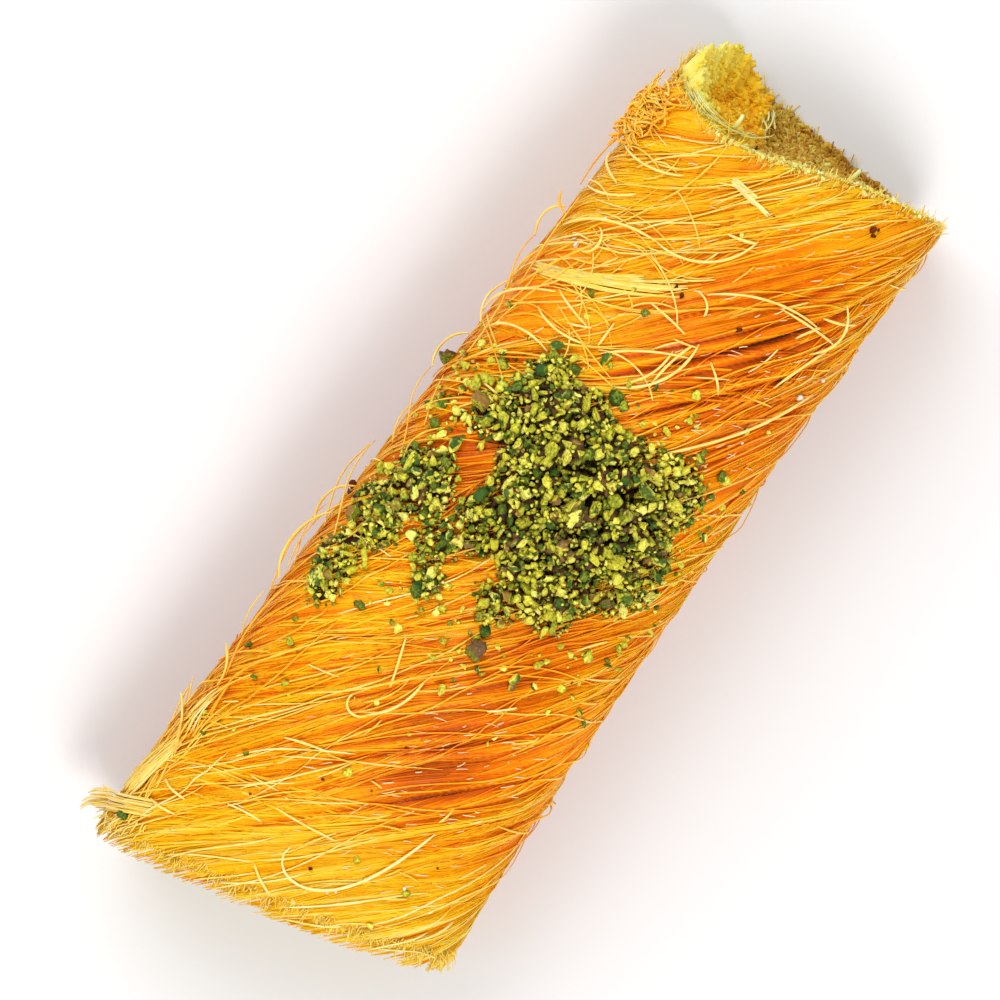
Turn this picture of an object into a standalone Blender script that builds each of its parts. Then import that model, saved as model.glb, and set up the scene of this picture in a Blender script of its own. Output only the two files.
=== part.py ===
"""Rolled kunafa: one log of shredded dough wound round a soft filling, cut slantwise at both ends,
with a heap of ground pistachio on top.

Metres, +Z up. The log lies along X on its flat underside: its foot points to -X, and its head, where
the filling shows best, points to +X. The origin is under the middle of the log, on the table.
"""

import math

import bmesh
import bpy
import numpy as np
from mathutils import Euler, Matrix, Vector

MM = 0.001

# The log, from its outline seen from above
LENGTH = 118.0 * MM
FOOT_WIDTH, MIDDLE_WIDTH, HEAD_WIDTH = 42.6 * MM, 38.8 * MM, 36.2 * MM
FOOT_HEIGHT, MIDDLE_HEIGHT, HEAD_HEIGHT = 26.0 * MM, 30.0 * MM, 28.0 * MM
FOOT_SWING, MIDDLE_SWING, HEAD_SWING = -1.2 * MM, 0.2 * MM, 0.3 * MM

# The middle of its box, in the axes that the formulas below use
BOX_MIDDLE = (-0.19 * MM, 0.03 * MM)

# Its cross-section: a rounded box, squarer on the +Y shoulder, cut off flat underneath
CORE_HEIGHT_SHARE = 0.47
UNDERCUT = 1.12
ROUND_POWER, SQUARE_POWER, LOWER_POWER = 2.1, 2.9, 2.8
FLAT_BELOW = 0.35 * MM

# The two slanting knife cuts: skew is seen from above, lean from the side
FOOT_SKEW, FOOT_LEAN = 0.25, 0.09
HEAD_SKEW = 0.145
HEAD_LEAN_SQUARE_SIDE, HEAD_LEAN_ROUND_SIDE = 8.4 * MM, 1.5 * MM

# Strands: locks of dough wind once round the log between its ends
LOCKS = 80
BARREL_ROWS = 25
RIDGE = 0.42 * MM
FRAY = 0.9 * MM

# The filling runs through the log, with a slit of a third of a millimetre round it
BORE_SHARE = 0.66
FILLING_GAP = 0.38 * MM
BORE_ROWS = 5
WALL_FACE_SHARES = (0.955, 0.83)
FILLING_COLUMNS = 30
FILLING_FACE_SHARES = (0.93, 0.72, 0.5, 0.27)
GRAIN_RELIEF = 0.45 * MM
POCKET_DEPTH = 5.0 * MM
POCKET_PLACE = (11.0 * MM, 18.5 * MM)
POCKET_SPREAD = (4.6 * MM, 3.8 * MM)

# Ground pistachio
NUT_CLEARANCE = 0.9 * MM
HEAP = {"x": 2.0 * MM, "y": -2.2 * MM, "half_x": 15.8 * MM, "half_round": 17.2 * MM, "thick": 4.2 * MM}
DRIFT = {"x": -11.0 * MM, "y": 12.0 * MM, "half_x": 11.6 * MM, "half_round": 4.9 * MM, "thick": 2.4 * MM}
HEAP_GRAINS, DRIFT_GRAINS, STRAY_GRAINS = 100, 24, 20
MOUND_RELIEF = 0.4 * MM
GRAIN_RADII = (0.75 * MM, 1.35 * MM)
HEAP_OUTLINE_WOBBLE = 0.1

# Loose strands that stand off the log
STRAND_RADIUS = 0.32 * MM
STRAND_STEP = 2.4 * MM
STRAND_SEAT = 0.12 * MM
STRAND_EASE = 0.22

DOUGH_COLOUR = (0.80, 0.40, 0.035, 1.0)
FILLING_COLOUR = (0.66, 0.56, 0.13, 1.0)
PISTACHIO_COLOUR = (0.24, 0.30, 0.045, 1.0)


# ---------------------------------------------------------------- the log's surface, by formula


def along(share, foot, middle, head):
    """A size that passes through its foot, middle and head values on one parabola."""
    share = np.clip(share, 0.0, 1.0)
    return (
        foot * (1 - share) * (1 - 2 * share)
        + middle * 4 * share * (1 - share)
        + head * share * (2 * share - 1)
    )


def half_section(angle, half_width, height):
    """(y, z) of the section at an angle round its core, before any part of it is cut off flat."""
    cosine, sine = np.cos(angle), np.sin(angle)
    upper = sine >= 0
    power = np.where(upper, np.where(cosine > 0, SQUARE_POWER, ROUND_POWER), LOWER_POWER)
    core = CORE_HEIGHT_SHARE * height
    reach = np.where(upper, height - core, core * UNDERCUT)
    y = half_width * np.sign(cosine) * np.abs(cosine) ** (2 / power)
    z = core + reach * np.sign(sine) * np.abs(sine) ** (2 / power)
    return y, z


def girth_table(steps=2400):
    """Angles round the middle section, starting on top, against the share of the girth passed."""
    angles = np.linspace(0.5 * math.pi, 2.5 * math.pi, steps)
    y, z = half_section(angles, MIDDLE_WIDTH / 2, MIDDLE_HEIGHT)
    passed = np.concatenate([[0], np.cumsum(np.hypot(np.diff(y), np.diff(z)))])
    return passed / passed[-1], angles, passed[-1]


SHARES, ANGLES, GIRTH = girth_table()


def head_lean(y, width=HEAD_WIDTH):
    """How far the head's bottom edge stands out past its top edge, less on the round side."""
    side = np.clip(0.5 + y / width, 0.0, 1.0) ** 1.5
    return HEAD_LEAN_ROUND_SIDE + (HEAD_LEAN_SQUARE_SIDE - HEAD_LEAN_ROUND_SIDE) * side


def foot_cut(y, z):
    """x of the foot's knife cut."""
    return -LENGTH / 2 + FOOT_SKEW * (FOOT_WIDTH / 2 - y) + FOOT_LEAN * (FOOT_HEIGHT - z)


def head_cut(y, z):
    """x of the head's knife cut."""
    top_edge = LENGTH / 2 - HEAD_LEAN_SQUARE_SIDE + HEAD_SKEW * (HEAD_WIDTH / 2 - y)
    return top_edge + head_lean(y) * (1 - z / HEAD_HEIGHT)


def surface(turn, share, scale=1.0, lift=0.0):
    """Points of the log's skin, or of a smaller skin inside it.

    turn is the share of the girth passed from the top towards -Y, share the way from foot to head,
    scale the size against the outer skin and lift a height added outwards. All may be arrays.
    """
    angle = np.interp(np.mod(turn, 1.0), SHARES, ANGLES)
    half_width = along(share, FOOT_WIDTH, MIDDLE_WIDTH, HEAD_WIDTH) / 2
    height = along(share, FOOT_HEIGHT, MIDDLE_HEIGHT, HEAD_HEIGHT)
    y, z = half_section(angle, half_width, height)
    core = CORE_HEIGHT_SHARE * height
    reach = np.hypot(y, z - core)
    grown = scale + lift / reach
    z = core + (z - core) * grown
    y = y * grown + along(share, FOOT_SWING, MIDDLE_SWING, HEAD_SWING)
    x = foot_cut(y, z) * (1 - share) + head_cut(y, z) * share
    return np.stack(np.broadcast_arrays(x, y, z), axis=-1)


def place_on_top(x, y):
    """(turn, share) of the point of the log's upper skin that is nearest to being over (x, y)."""
    turns = np.linspace(-0.3, 0.3, 241)
    share = 0.5 + x / LENGTH
    for _ in range(3):
        points = surface(turns, share)
        best = int(np.argmin(np.abs(points[:, 1] - y)))
        share += (x - points[best, 0]) / LENGTH
    return float(turns[best]), float(share)


# ---------------------------------------------------------------- objects


def material(name, colour, roughness):
    made = bpy.data.materials.new(name)
    made.use_nodes = True
    shader = made.node_tree.nodes["Principled BSDF"]
    shader.inputs["Base Color"].default_value = colour
    shader.inputs["Roughness"].default_value = roughness
    shader.inputs["Metallic"].default_value = 0.0
    return made


def collection(name, parent):
    made = bpy.data.collections.new(name)
    parent.children.link(made)
    return made


def add_mesh(name, mesh, home):
    made = bpy.data.objects.new(name, mesh)
    home.objects.link(made)
    return made


def face_outwards(mesh):
    work = bmesh.new()
    work.from_mesh(mesh)
    bmesh.ops.recalc_face_normals(work, faces=work.faces)
    work.to_mesh(mesh)
    work.free()


def clear_scene():
    for old in list(bpy.data.objects):
        bpy.data.objects.remove(old)


def dealt_ball(name, rows, columns, home):
    """A ball primitive whose rings are dealt out along the log.

    rows gives each ring's (share, scale, rough), from the foot's centre to the head's centre.
    """
    mesh = bpy.data.meshes.new(name)
    work = bmesh.new()
    bmesh.ops.create_uvsphere(work, u_segments=columns, v_segments=len(rows) - 1, radius=1.0)
    draw = np.random.default_rng(11)
    for vertex in work.verts:
        ring = round(math.acos(max(-1.0, min(1.0, -vertex.co.z))) / math.pi * (len(rows) - 1))
        column = round(math.atan2(vertex.co.y, vertex.co.x) / (2 * math.pi) * columns)
        share, scale, rough = rows[ring]
        point = surface(column / columns, share, scale)
        point[0] += rough * draw.uniform(-1, 1)
        if share == 1.0:
            point[0] -= pocket(point[1], point[2])
        vertex.co = point
    work.to_mesh(mesh)
    work.free()
    face_outwards(mesh)
    return add_mesh(name, mesh, home)


def pocket(y, z):
    """Depth of the hollow that the fold leaves in the head's face."""
    reach = ((y - POCKET_PLACE[0]) / POCKET_SPREAD[0]) ** 2 + ((z - POCKET_PLACE[1]) / POCKET_SPREAD[1]) ** 2
    return POCKET_DEPTH * math.exp(-reach)


def filling(home):
    """The filling: a rod through the log, with a grainy face at each end."""
    half = 0.5 * MIDDLE_HEIGHT
    scale = BORE_SHARE - FILLING_GAP / half
    faces = [(scale * s, GRAIN_RELIEF) for s in FILLING_FACE_SHARES]
    rows = [(0.0, 0.0, 0.0)] + [(0.0, s, r) for s, r in reversed(faces)]
    rows += [(i / BORE_ROWS, scale, 0.0) for i in range(BORE_ROWS + 1)]
    rows += [(1.0, s, r) for s, r in faces] + [(1.0, 0.0, 0.0)]
    return dealt_ball("filling", rows, FILLING_COLUMNS, home)


def lock_relief():
    """Height of each lock of strands at each row: side by side ridges that rise and fall."""
    draw = np.random.default_rng(5)
    ridge = np.where(np.arange(LOCKS) % 2 == 0, 0.5, -0.5) + draw.uniform(-0.5, 0.5, LOCKS)
    swell = draw.uniform(-1, 1, (BARREL_ROWS + 1, LOCKS))
    swell = (swell + np.roll(swell, 1, axis=0) + np.roll(swell, -1, axis=0)) / 3
    return RIDGE * (ridge[None, :] * 0.75 + swell * 0.6)


def wrapping(home):
    """The dough wound round the filling: a ring primitive stretched into a thick tube.

    The ring's small circle runs along the outer skin from foot to head, in over the head's face,
    back through the bore, and out over the foot's face. Its columns turn once round on the outer
    skin, as the strands do, and run straight in the bore.
    """
    rows = [(i / BARREL_ROWS, 1.0) for i in range(BARREL_ROWS + 1)]
    rows += [(1.0, s) for s in (*WALL_FACE_SHARES, BORE_SHARE)]
    rows += [(1 - i / BORE_ROWS, BORE_SHARE) for i in range(1, BORE_ROWS + 1)]
    rows += [(0.0, s) for s in reversed(WALL_FACE_SHARES)]
    bpy.ops.mesh.primitive_torus_add(
        major_segments=LOCKS, minor_segments=len(rows), major_radius=1.0, minor_radius=0.25
    )
    made = bpy.context.object
    made.name = made.data.name = "dough_roll"
    for old in made.users_collection:
        old.objects.unlink(made)
    home.objects.link(made)

    relief = lock_relief()
    fray = np.random.default_rng(8).uniform(-1, 1, (2, LOCKS)) * FRAY
    for index, vertex in enumerate(made.data.vertices):
        column, row = divmod(index, len(rows))
        share, scale = rows[row]
        outer = row <= BARREL_ROWS
        turn = column / LOCKS + (share if outer else 0.0)
        point = surface(turn, share, scale, relief[row, column] if outer else 0.0)
        if share in (0.0, 1.0) and scale > BORE_SHARE:
            point[0] += fray[int(share), column]
        if share == 1.0 and scale < 1.0:
            point[0] -= pocket(point[1], point[2])
        if point[2] < FLAT_BELOW:
            point[2] = 0.0
        vertex.co = point
    face_outwards(made.data)
    return made


def tube(name, points, home):
    """A loose strand: a curve with a round bevel, made a closed mesh."""
    curve = bpy.data.curves.new(name, "CURVE")
    curve.dimensions = "3D"
    curve.bevel_depth = STRAND_RADIUS
    curve.bevel_resolution = 0
    curve.use_fill_caps = True
    line = curve.splines.new("POLY")
    line.points.add(len(points) - 1)
    line.points.foreach_set("co", np.c_[points, np.ones(len(points))].ravel())
    guide = bpy.data.objects.new(name, curve)
    home.objects.link(guide)
    bpy.context.view_layer.update()
    mesh = bpy.data.meshes.new_from_object(guide.evaluated_get(bpy.context.evaluated_depsgraph_get()))
    bpy.data.objects.remove(guide)
    work = bmesh.new()
    work.from_mesh(mesh)
    bmesh.ops.remove_doubles(work, verts=work.verts, dist=0.00002)
    work.to_mesh(mesh)
    work.free()
    return add_mesh(name, mesh, home)


def strand_route(x, y, heading, bend, length, rise, tip):
    """Points of a strand that starts over (x, y) and wanders over the skin.

    heading is its first direction, in degrees from +X towards -Y, bend how far it turns over its
    length, in degrees and mostly at first, and rise and tip how high its middle and its end stand
    off the skin.
    """
    turn, share = place_on_top(x, y)
    steps = max(4, round(length / STRAND_STEP))
    step = length / steps
    points = []
    for i in range(steps + 1):
        way = i / steps
        height = STRAND_SEAT + rise * math.sin(math.pi * way) + tip * way**2
        points.append(surface(turn, share, 1.0, height))
        direction = math.radians(heading + bend * (1 - math.exp(-way / STRAND_EASE)))
        turn += step * math.sin(direction) / GIRTH
        share += step * math.cos(direction) / LENGTH
    return np.array(points)


LOOSE_STRANDS = (
    # x, y, heading, bend, length, rise, tip: first the hook near the foot, the loops along the
    # +Y shoulder and the long strand near the head, then what sticks out at the ends
    (-46.8 * MM, 0.4 * MM, 206.0, -191.0, 23.0 * MM, 0.5 * MM, 0.0),
    (-26.0 * MM, 19.4 * MM, -20.0, 40.0, 14.0 * MM, 2.0 * MM, 0.0),
    (-11.0 * MM, 19.5 * MM, -20.0, 40.0, 9.0 * MM, 1.6 * MM, 0.0),
    (9.0 * MM, 19.2 * MM, -25.0, 50.0, 9.0 * MM, 1.7 * MM, 0.0),
    (27.0 * MM, 18.2 * MM, -25.0, 45.0, 10.0 * MM, 1.7 * MM, 0.0),
    (31.0 * MM, 15.0 * MM, 60.0, -10.0, 22.0 * MM, 0.5 * MM, 0.0),
    (-53.5 * MM, 18.6 * MM, 190.0, 14.0, 5.6 * MM, 0.2 * MM, 2.0 * MM),
    (-50.5 * MM, 18.9 * MM, 205.0, 20.0, 6.0 * MM, 0.3 * MM, 2.6 * MM),
    (51.0 * MM, 10.5 * MM, 8.0, -10.0, 5.2 * MM, 0.2 * MM, 0.4 * MM),
)


def grain(name, centre, radius, draw, home):
    """One crumb of nut: a twenty-sided ball, dented and turned."""
    mesh = bpy.data.meshes.new(name)
    work = bmesh.new()
    bmesh.ops.create_icosphere(work, subdivisions=1, radius=radius)
    turned = Euler(draw.uniform(0, 2 * math.pi, 3)).to_matrix()
    stretch = Vector(draw.uniform(0.78, 1.22, 3))
    for vertex in work.verts:
        vertex.co = turned @ (vertex.co * stretch * draw.uniform(0.8, 1.15)) + Vector(centre)
    work.to_mesh(mesh)
    work.free()
    return add_mesh(name, mesh, home)


def wobble(direction):
    """The heap's uneven outline: 1, more or less, by the direction from its middle."""
    lean = math.cos(direction + math.pi / 3)
    corners = 0.75 * math.cos(3 * direction - 1.5 * math.pi)
    return 1 + HEAP_OUTLINE_WOBBLE * (lean + corners + 0.4 * math.sin(7 * direction))


def over_heap(patch, out_x, out_round, height):
    """A point over the middle of a patch of nut, by shares of its half sizes, and a height."""
    turn, share = place_on_top(patch["x"], patch["y"])
    size = wobble(math.atan2(out_round, out_x))
    turn += out_round * size * patch["half_round"] / GIRTH
    share += out_x * size * patch["half_x"] / LENGTH
    return surface(turn, share, 1.0, height)


def mound(name, patch, home):
    """The core of a patch of nut: a ball pressed flat underneath, a little clear of the dough."""
    mesh = bpy.data.meshes.new(name)
    work = bmesh.new()
    bmesh.ops.create_uvsphere(work, u_segments=24, v_segments=10, radius=1.0)
    draw = np.random.default_rng(3)
    for vertex in work.verts:
        x, around, up = vertex.co
        height = up * patch["thick"] + draw.uniform(0, 1) * MOUND_RELIEF if up > 0.01 else 0.0
        vertex.co = over_heap(patch, x, around, NUT_CLEARANCE + height)
    work.to_mesh(mesh)
    work.free()
    face_outwards(mesh)
    return add_mesh(name, mesh, home)


def spread_grains(patch, count, seed, home):
    """Crumbs laid out like a sunflower's seeds over a mound, half sunk in it."""
    draw = np.random.default_rng(seed)
    golden = math.pi * (3 - math.sqrt(5))
    for i in range(count):
        out = math.sqrt((i + 0.5) / count)
        direction = i * golden + draw.uniform(-0.15, 0.15)
        radius = draw.uniform(*GRAIN_RADII)
        height = NUT_CLEARANCE + max(patch["thick"] * math.sqrt(1 - out * out), 1.2 * radius)
        centre = over_heap(patch, out * math.cos(direction), out * math.sin(direction), height)
        grain(f"grain_{seed}_{i}", centre, radius, draw, home)


def stray_grains(home):
    """Crumbs that lie on the dough, clear of the heap."""
    draw = np.random.default_rng(23)
    for i in range(STRAY_GRAINS):
        direction = 2 * math.pi * i / STRAY_GRAINS + draw.uniform(-0.1, 0.1)
        out = draw.uniform(1.75, 2.35)
        centre = over_heap(HEAP, out * math.cos(direction), 0.8 * out * math.sin(direction), 0.25 * MM)
        if centre[2] > CORE_HEIGHT_SHARE * MIDDLE_HEIGHT and clear_of_drift(centre):
            grain(f"stray_{i}", centre, draw.uniform(*GRAIN_RADII) * 0.8, draw, home)


def clear_of_drift(point):
    reach_x = (point[0] - DRIFT["x"]) / (DRIFT["half_x"] + 3.5 * MM)
    reach_y = (point[1] - DRIFT["y"]) / (DRIFT["half_round"] + 3.5 * MM)
    return math.hypot(reach_x, reach_y) > 1


def fuse(target, group):
    """Joins everything in a collection to target, and removes the collection."""
    step = target.modifiers.new("fuse", "BOOLEAN")
    step.operation = "UNION"
    step.solver = "MANIFOLD"
    step.operand_type = "COLLECTION"
    step.collection = group
    bpy.context.view_layer.update()
    made = bpy.data.meshes.new_from_object(target.evaluated_get(bpy.context.evaluated_depsgraph_get()))
    target.modifiers.clear()
    target.data = made
    for used in list(group.objects):
        bpy.data.objects.remove(used)
    bpy.data.collections.remove(group)


def keep_largest(target):
    """Drops loose scraps: all but the body with the most faces."""
    work = bmesh.new()
    work.from_mesh(target.data)
    unseen, bodies = set(work.verts), []
    while unseen:
        front = [unseen.pop()]
        body = set(front)
        while front:
            vertex = front.pop()
            near = {edge.other_vert(vertex) for edge in vertex.link_edges} & unseen
            unseen -= near
            body |= near
            front += near
        bodies.append(body)
    bodies.sort(key=len)
    bmesh.ops.delete(work, geom=[v for body in bodies[:-1] for v in body], context="VERTS")
    work.to_mesh(target.data)
    work.free()


def finish(target, dressed):
    """Brings a node to the object's origin, and gives it its material and shading."""
    target.data.transform(Matrix.Translation((-BOX_MIDDLE[0], -BOX_MIDDLE[1], 0.0)))
    target.data.name = target.name
    target.data.materials.clear()
    target.data.materials.append(dressed)
    target.data.shade_smooth()
    target.data.set_sharp_from_angle(angle=math.radians(40))


def main():
    clear_scene()
    parts = collection("rolled_kunafa", bpy.context.scene.collection)

    dough = wrapping(parts)
    loose = collection("loose_pieces", parts)
    for i, strand in enumerate(LOOSE_STRANDS):
        tube(f"strand_{i}", strand_route(*strand), loose)
    stray_grains(loose)
    fuse(dough, loose)
    keep_largest(dough)

    soft = filling(parts)

    nuts = mound("pistachio_heap", HEAP, parts)
    crumbs = collection("crumbs", parts)
    mound("drift", DRIFT, crumbs)
    spread_grains(HEAP, HEAP_GRAINS, 31, crumbs)
    spread_grains(DRIFT, DRIFT_GRAINS, 37, crumbs)
    fuse(nuts, crumbs)
    keep_largest(nuts)

    finish(dough, material("baked_dough", DOUGH_COLOUR, 0.42))
    finish(soft, material("soft_filling", FILLING_COLOUR, 0.5))
    finish(nuts, material("ground_pistachio", PISTACHIO_COLOUR, 0.7))


main()
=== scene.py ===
"""The looks of a rolled kunafa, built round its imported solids.

A log of shredded dough is wound from some thousands of single strands, laid in locks over a darker
bed. Both knife cuts show the strands' ends round a soft, pale filling, with a syrup-soaked fold in
the head's cut. Crumbs of chopped pistachio are heaped on top. Metres, +Z up, +X to the head.
"""

import logging
import math
from dataclasses import astuple, dataclass, field
from enum import Enum

import bmesh
import bpy
import numpy as np
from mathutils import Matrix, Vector


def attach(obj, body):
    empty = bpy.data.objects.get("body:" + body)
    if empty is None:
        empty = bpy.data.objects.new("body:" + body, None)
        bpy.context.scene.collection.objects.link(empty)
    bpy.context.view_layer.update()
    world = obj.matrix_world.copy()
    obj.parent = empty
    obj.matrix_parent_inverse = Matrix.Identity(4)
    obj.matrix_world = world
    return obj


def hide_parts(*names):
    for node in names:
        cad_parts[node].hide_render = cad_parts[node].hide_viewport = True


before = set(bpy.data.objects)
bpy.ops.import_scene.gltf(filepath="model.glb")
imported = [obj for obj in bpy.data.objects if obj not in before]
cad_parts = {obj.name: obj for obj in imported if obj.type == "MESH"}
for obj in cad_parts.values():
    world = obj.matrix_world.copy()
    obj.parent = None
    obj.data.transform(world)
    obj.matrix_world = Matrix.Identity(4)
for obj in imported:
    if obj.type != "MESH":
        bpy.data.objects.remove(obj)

Array = np.ndarray
Socket = bpy.types.NodeSocket
Piece = bpy.types.Object
Material = bpy.types.Material
Pair = tuple[float, float]
Triple = tuple[float, float, float]
MM = 0.001
TURN = 2 * math.pi  # one turn, in radians
seeded = np.random.default_rng
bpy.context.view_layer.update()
LOG = logging.getLogger("kunafa")


# ---- the log's surface


def unit(vectors: Array) -> Array:
    """Vectors divided by their lengths."""
    return vectors / np.maximum(np.linalg.norm(vectors, axis=-1, keepdims=True), 1e-12)


def ripples(u: Array, v: Array, seed: int, crests: int = 3, waves: int = 6) -> Array:
    """Smooth noise of about unit height, which repeats after one unit of u.

    It is a sum of sines whose crests cross at random angles: sin(2 pi (a u + b v) + phase), with a a
    whole number and b any number up to crests.

    Args:
        u: First coordinate, such as a turn.
        v: Second coordinate, such as a share of the length.
        seed: Seed of the random directions and phases.
        crests: Most crests in one unit.
        waves: How many sines are added.

    Returns:
        Values mostly between -1 and 1.
    """
    draw = seeded(seed)
    total = 0.0
    for _ in range(waves):
        a, b = int(draw.integers(-crests, crests + 1)), draw.uniform(-crests, crests)
        total = total + np.sin(TURN * (a * u + b * v) + draw.uniform(0, TURN))
    return total / math.sqrt(waves) * 0.8


@dataclass(frozen=True)
class Skin:
    """The log's outer surface, by the same formulas and sizes as its solids.

    A point is given by turn, the share of the girth passed from the top towards -Y, and by share, the
    way from the foot's cut to the head's. The section is a superellipse round a core line, squarer on
    the +Y shoulder and cut off flat underneath.
    """

    length: float = 118.0 * MM
    widths: Triple = (42.6 * MM, 38.8 * MM, 36.2 * MM)
    heights: Triple = (26.0 * MM, 30.0 * MM, 28.0 * MM)
    swings: Triple = (-1.2 * MM, 0.2 * MM, 0.3 * MM)
    box_middle: Pair = (-0.19 * MM, 0.03 * MM)
    core_share: float = 0.47
    undercut: float = 1.12
    powers: Triple = (2.1, 2.9, 2.8)
    foot_skew: float = 0.25
    foot_lean: float = 0.09
    head_skew: float = 0.145
    head_leans: Pair = (8.4 * MM, 1.5 * MM)
    lip: Triple = (3.2 * MM, 7.5 * MM, 11.5 * MM)
    bore_share: float = 0.66
    floor_gap: float = 0.22 * MM
    steps: int = 2400
    rounds: int = 24  # of the search for the point over a place
    side_turn: float = 0.3  # that search goes no further round the sides

    def __post_init__(self) -> None:
        """Tabulates the section's angle against the share of the girth passed."""
        angles = np.linspace(0.5 * math.pi, 2.5 * math.pi, self.steps)
        y, z = self.section(angles, self.widths[1] / 2, self.heights[1])
        passed = np.concatenate([[0], np.cumsum(np.hypot(np.diff(y), np.diff(z)))])
        object.__setattr__(self, "girth", float(passed[-1]))
        object.__setattr__(self, "table", (passed / passed[-1], angles))

    @staticmethod
    def along(share: Array, sizes: Triple) -> Array:
        """A size on the parabola through its foot, middle and head values."""
        s = np.clip(share, 0.0, 1.0)
        return sizes[0] * (1 - s) * (1 - 2 * s) + sizes[1] * 4 * s * (1 - s) + sizes[2] * s * (2 * s - 1)

    def section(self, angle: Array, half_width: Array, height: Array) -> tuple[Array, Array]:
        """The section at an angle round its core.

        Args:
            angle: Angle from +Y towards +Z, in radians.
            half_width: Half the section's width.
            height: The section's height.

        Returns:
            y and z, each sign(c) * |c| ** (2 / power) times its half size, with c the cosine or sine.
        """
        cosine, sine = np.cos(angle), np.sin(angle)
        upper = sine >= 0
        power = np.where(upper, np.where(cosine > 0, self.powers[1], self.powers[0]), self.powers[2])
        core = self.core_share * height
        reach = np.where(upper, height - core, core * self.undercut)
        y = half_width * np.sign(cosine) * np.abs(cosine) ** (2 / power)
        return y, core + reach * np.sign(sine) * np.abs(sine) ** (2 / power)

    def cuts(self, y: Array, z: Array) -> tuple[Array, Array]:
        """x of the foot's and of the head's knife cut, which slant in plan and lean in elevation.

        The head's upper lip is torn back by a bell over y: its depth, middle and spread are in lip.

        Args:
            y: Places across the log.
            z: Heights.

        Returns:
            x of the foot's cut and x of the head's.
        """
        foot = -self.length / 2 + self.foot_skew * (self.widths[0] / 2 - y)
        foot = foot + self.foot_lean * (self.heights[0] - z)
        side = np.clip(0.5 + y / self.widths[2], 0.0, 1.0) ** 1.5
        lean = self.head_leans[1] + (self.head_leans[0] - self.head_leans[1]) * side
        head = self.length / 2 - self.head_leans[0] + self.head_skew * (self.widths[2] / 2 - y)
        depth, middle, spread = self.lip
        torn = depth * np.exp(-(((y - middle) / spread) ** 2)) * np.clip(z / self.heights[2], 0, 1)
        return foot, head + lean * (1 - z / self.heights[2]) - torn

    def point(self, turn: Array, share: Array, scale: Array = 1.0, lift: Array = 0.0) -> Array:
        """Points on the skin, on a smaller skin inside it, or lifted off it.

        Args:
            turn: Share of the girth passed.
            share: Way from foot to head.
            scale: Size against the outer skin.
            lift: Height added outwards, in metres.

        Returns:
            Points, with x, y and z on the last axis.
        """
        angle = np.interp(np.mod(turn, 1.0), *self.table)
        height = self.along(share, self.heights)
        y, z = self.section(angle, self.along(share, self.widths) / 2, height)
        core = self.core_share * height
        grown = scale + lift / np.hypot(y, z - core)
        z = core + (z - core) * grown
        y = y * grown + self.along(share, self.swings)
        foot, head = self.cuts(y, z)
        x = foot * (1 - share) + head * share
        z = np.maximum(z, self.floor_gap)
        shift = self.box_middle
        return np.stack(np.broadcast_arrays(x - shift[0], y - shift[1], z), axis=-1)

    def outward(self, turn: Array, share: Array, step: float = 0.004) -> Array:
        """Unit normals: the cross product of the skin's slopes along turn and along share.

        Args:
            turn: Share of the girth passed.
            share: Way from foot to head.
            step: How far either way the slopes are taken.

        Returns:
            Normals.
        """
        across = self.point(turn + step, share) - self.point(turn - step, share)
        ahead = self.point(turn, share + step) - self.point(turn, share - step)
        return unit(np.cross(across, ahead))

    def over(self, x: Array, y: Array) -> tuple[Array, Array]:
        """turn and share of the points of the upper skin that lie over the places (x, y).

        Each round moves share by the miss in x over the length, and turn by the miss in y over the
        girth.

        Args:
            x: Places along the log.
            y: Places across it.

        Returns:
            turn and share of each.
        """
        x, y = np.broadcast_arrays(np.asarray(x, float), np.asarray(y, float))
        turn, share = -y / self.girth, 0.5 + x / self.length
        for _ in range(self.rounds):
            point = self.point(turn, share)
            share = share + (x - point[..., 0]) / self.length
            turn = turn + (point[..., 1] - y) / self.girth
            turn = np.clip(turn, -self.side_turn, self.side_turn)
        return turn, share


# ---- meshes from arrays


def new_piece(name: str, points: Array, faces: list[Array], smooth: bool = True, **values: Array) -> Piece:
    """Makes a mesh object from arrays.

    Args:
        name: Name of the piece.
        points: Vertices, one row each.
        faces: Arrays of vertex numbers, one row a face; each array has faces of one size.
        smooth: Whether the faces are shaded smooth.
        values: Number or vector attributes on the vertices, by name.

    Returns:
        The object, linked to the scene at the origin.
    """
    mesh = bpy.data.meshes.new(name)
    sizes = np.concatenate([np.full(len(f), f.shape[1]) for f in faces])
    loops = np.concatenate([f.ravel() for f in faces]).astype(np.int32)
    mesh.vertices.add(len(points))
    mesh.vertices.foreach_set("co", np.ascontiguousarray(points, np.float32).ravel())
    mesh.loops.add(len(loops))
    mesh.loops.foreach_set("vertex_index", loops)
    mesh.polygons.add(len(sizes))
    starts = np.concatenate([[0], np.cumsum(sizes)[:-1]]).astype(np.int32)
    mesh.polygons.foreach_set("loop_start", starts)
    mesh.update(calc_edges=True)
    for key, value in values.items():
        kind, part = ("FLOAT_VECTOR", "vector") if value.size == 3 * len(points) else ("FLOAT", "value")
        layer = mesh.attributes.new(key, kind, "POINT")
        layer.data.foreach_set(part, np.ascontiguousarray(value, np.float32).ravel())
    if smooth:
        mesh.shade_smooth()
    piece = bpy.data.objects.new(name, mesh)
    bpy.context.scene.collection.objects.link(piece)
    return piece


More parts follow.
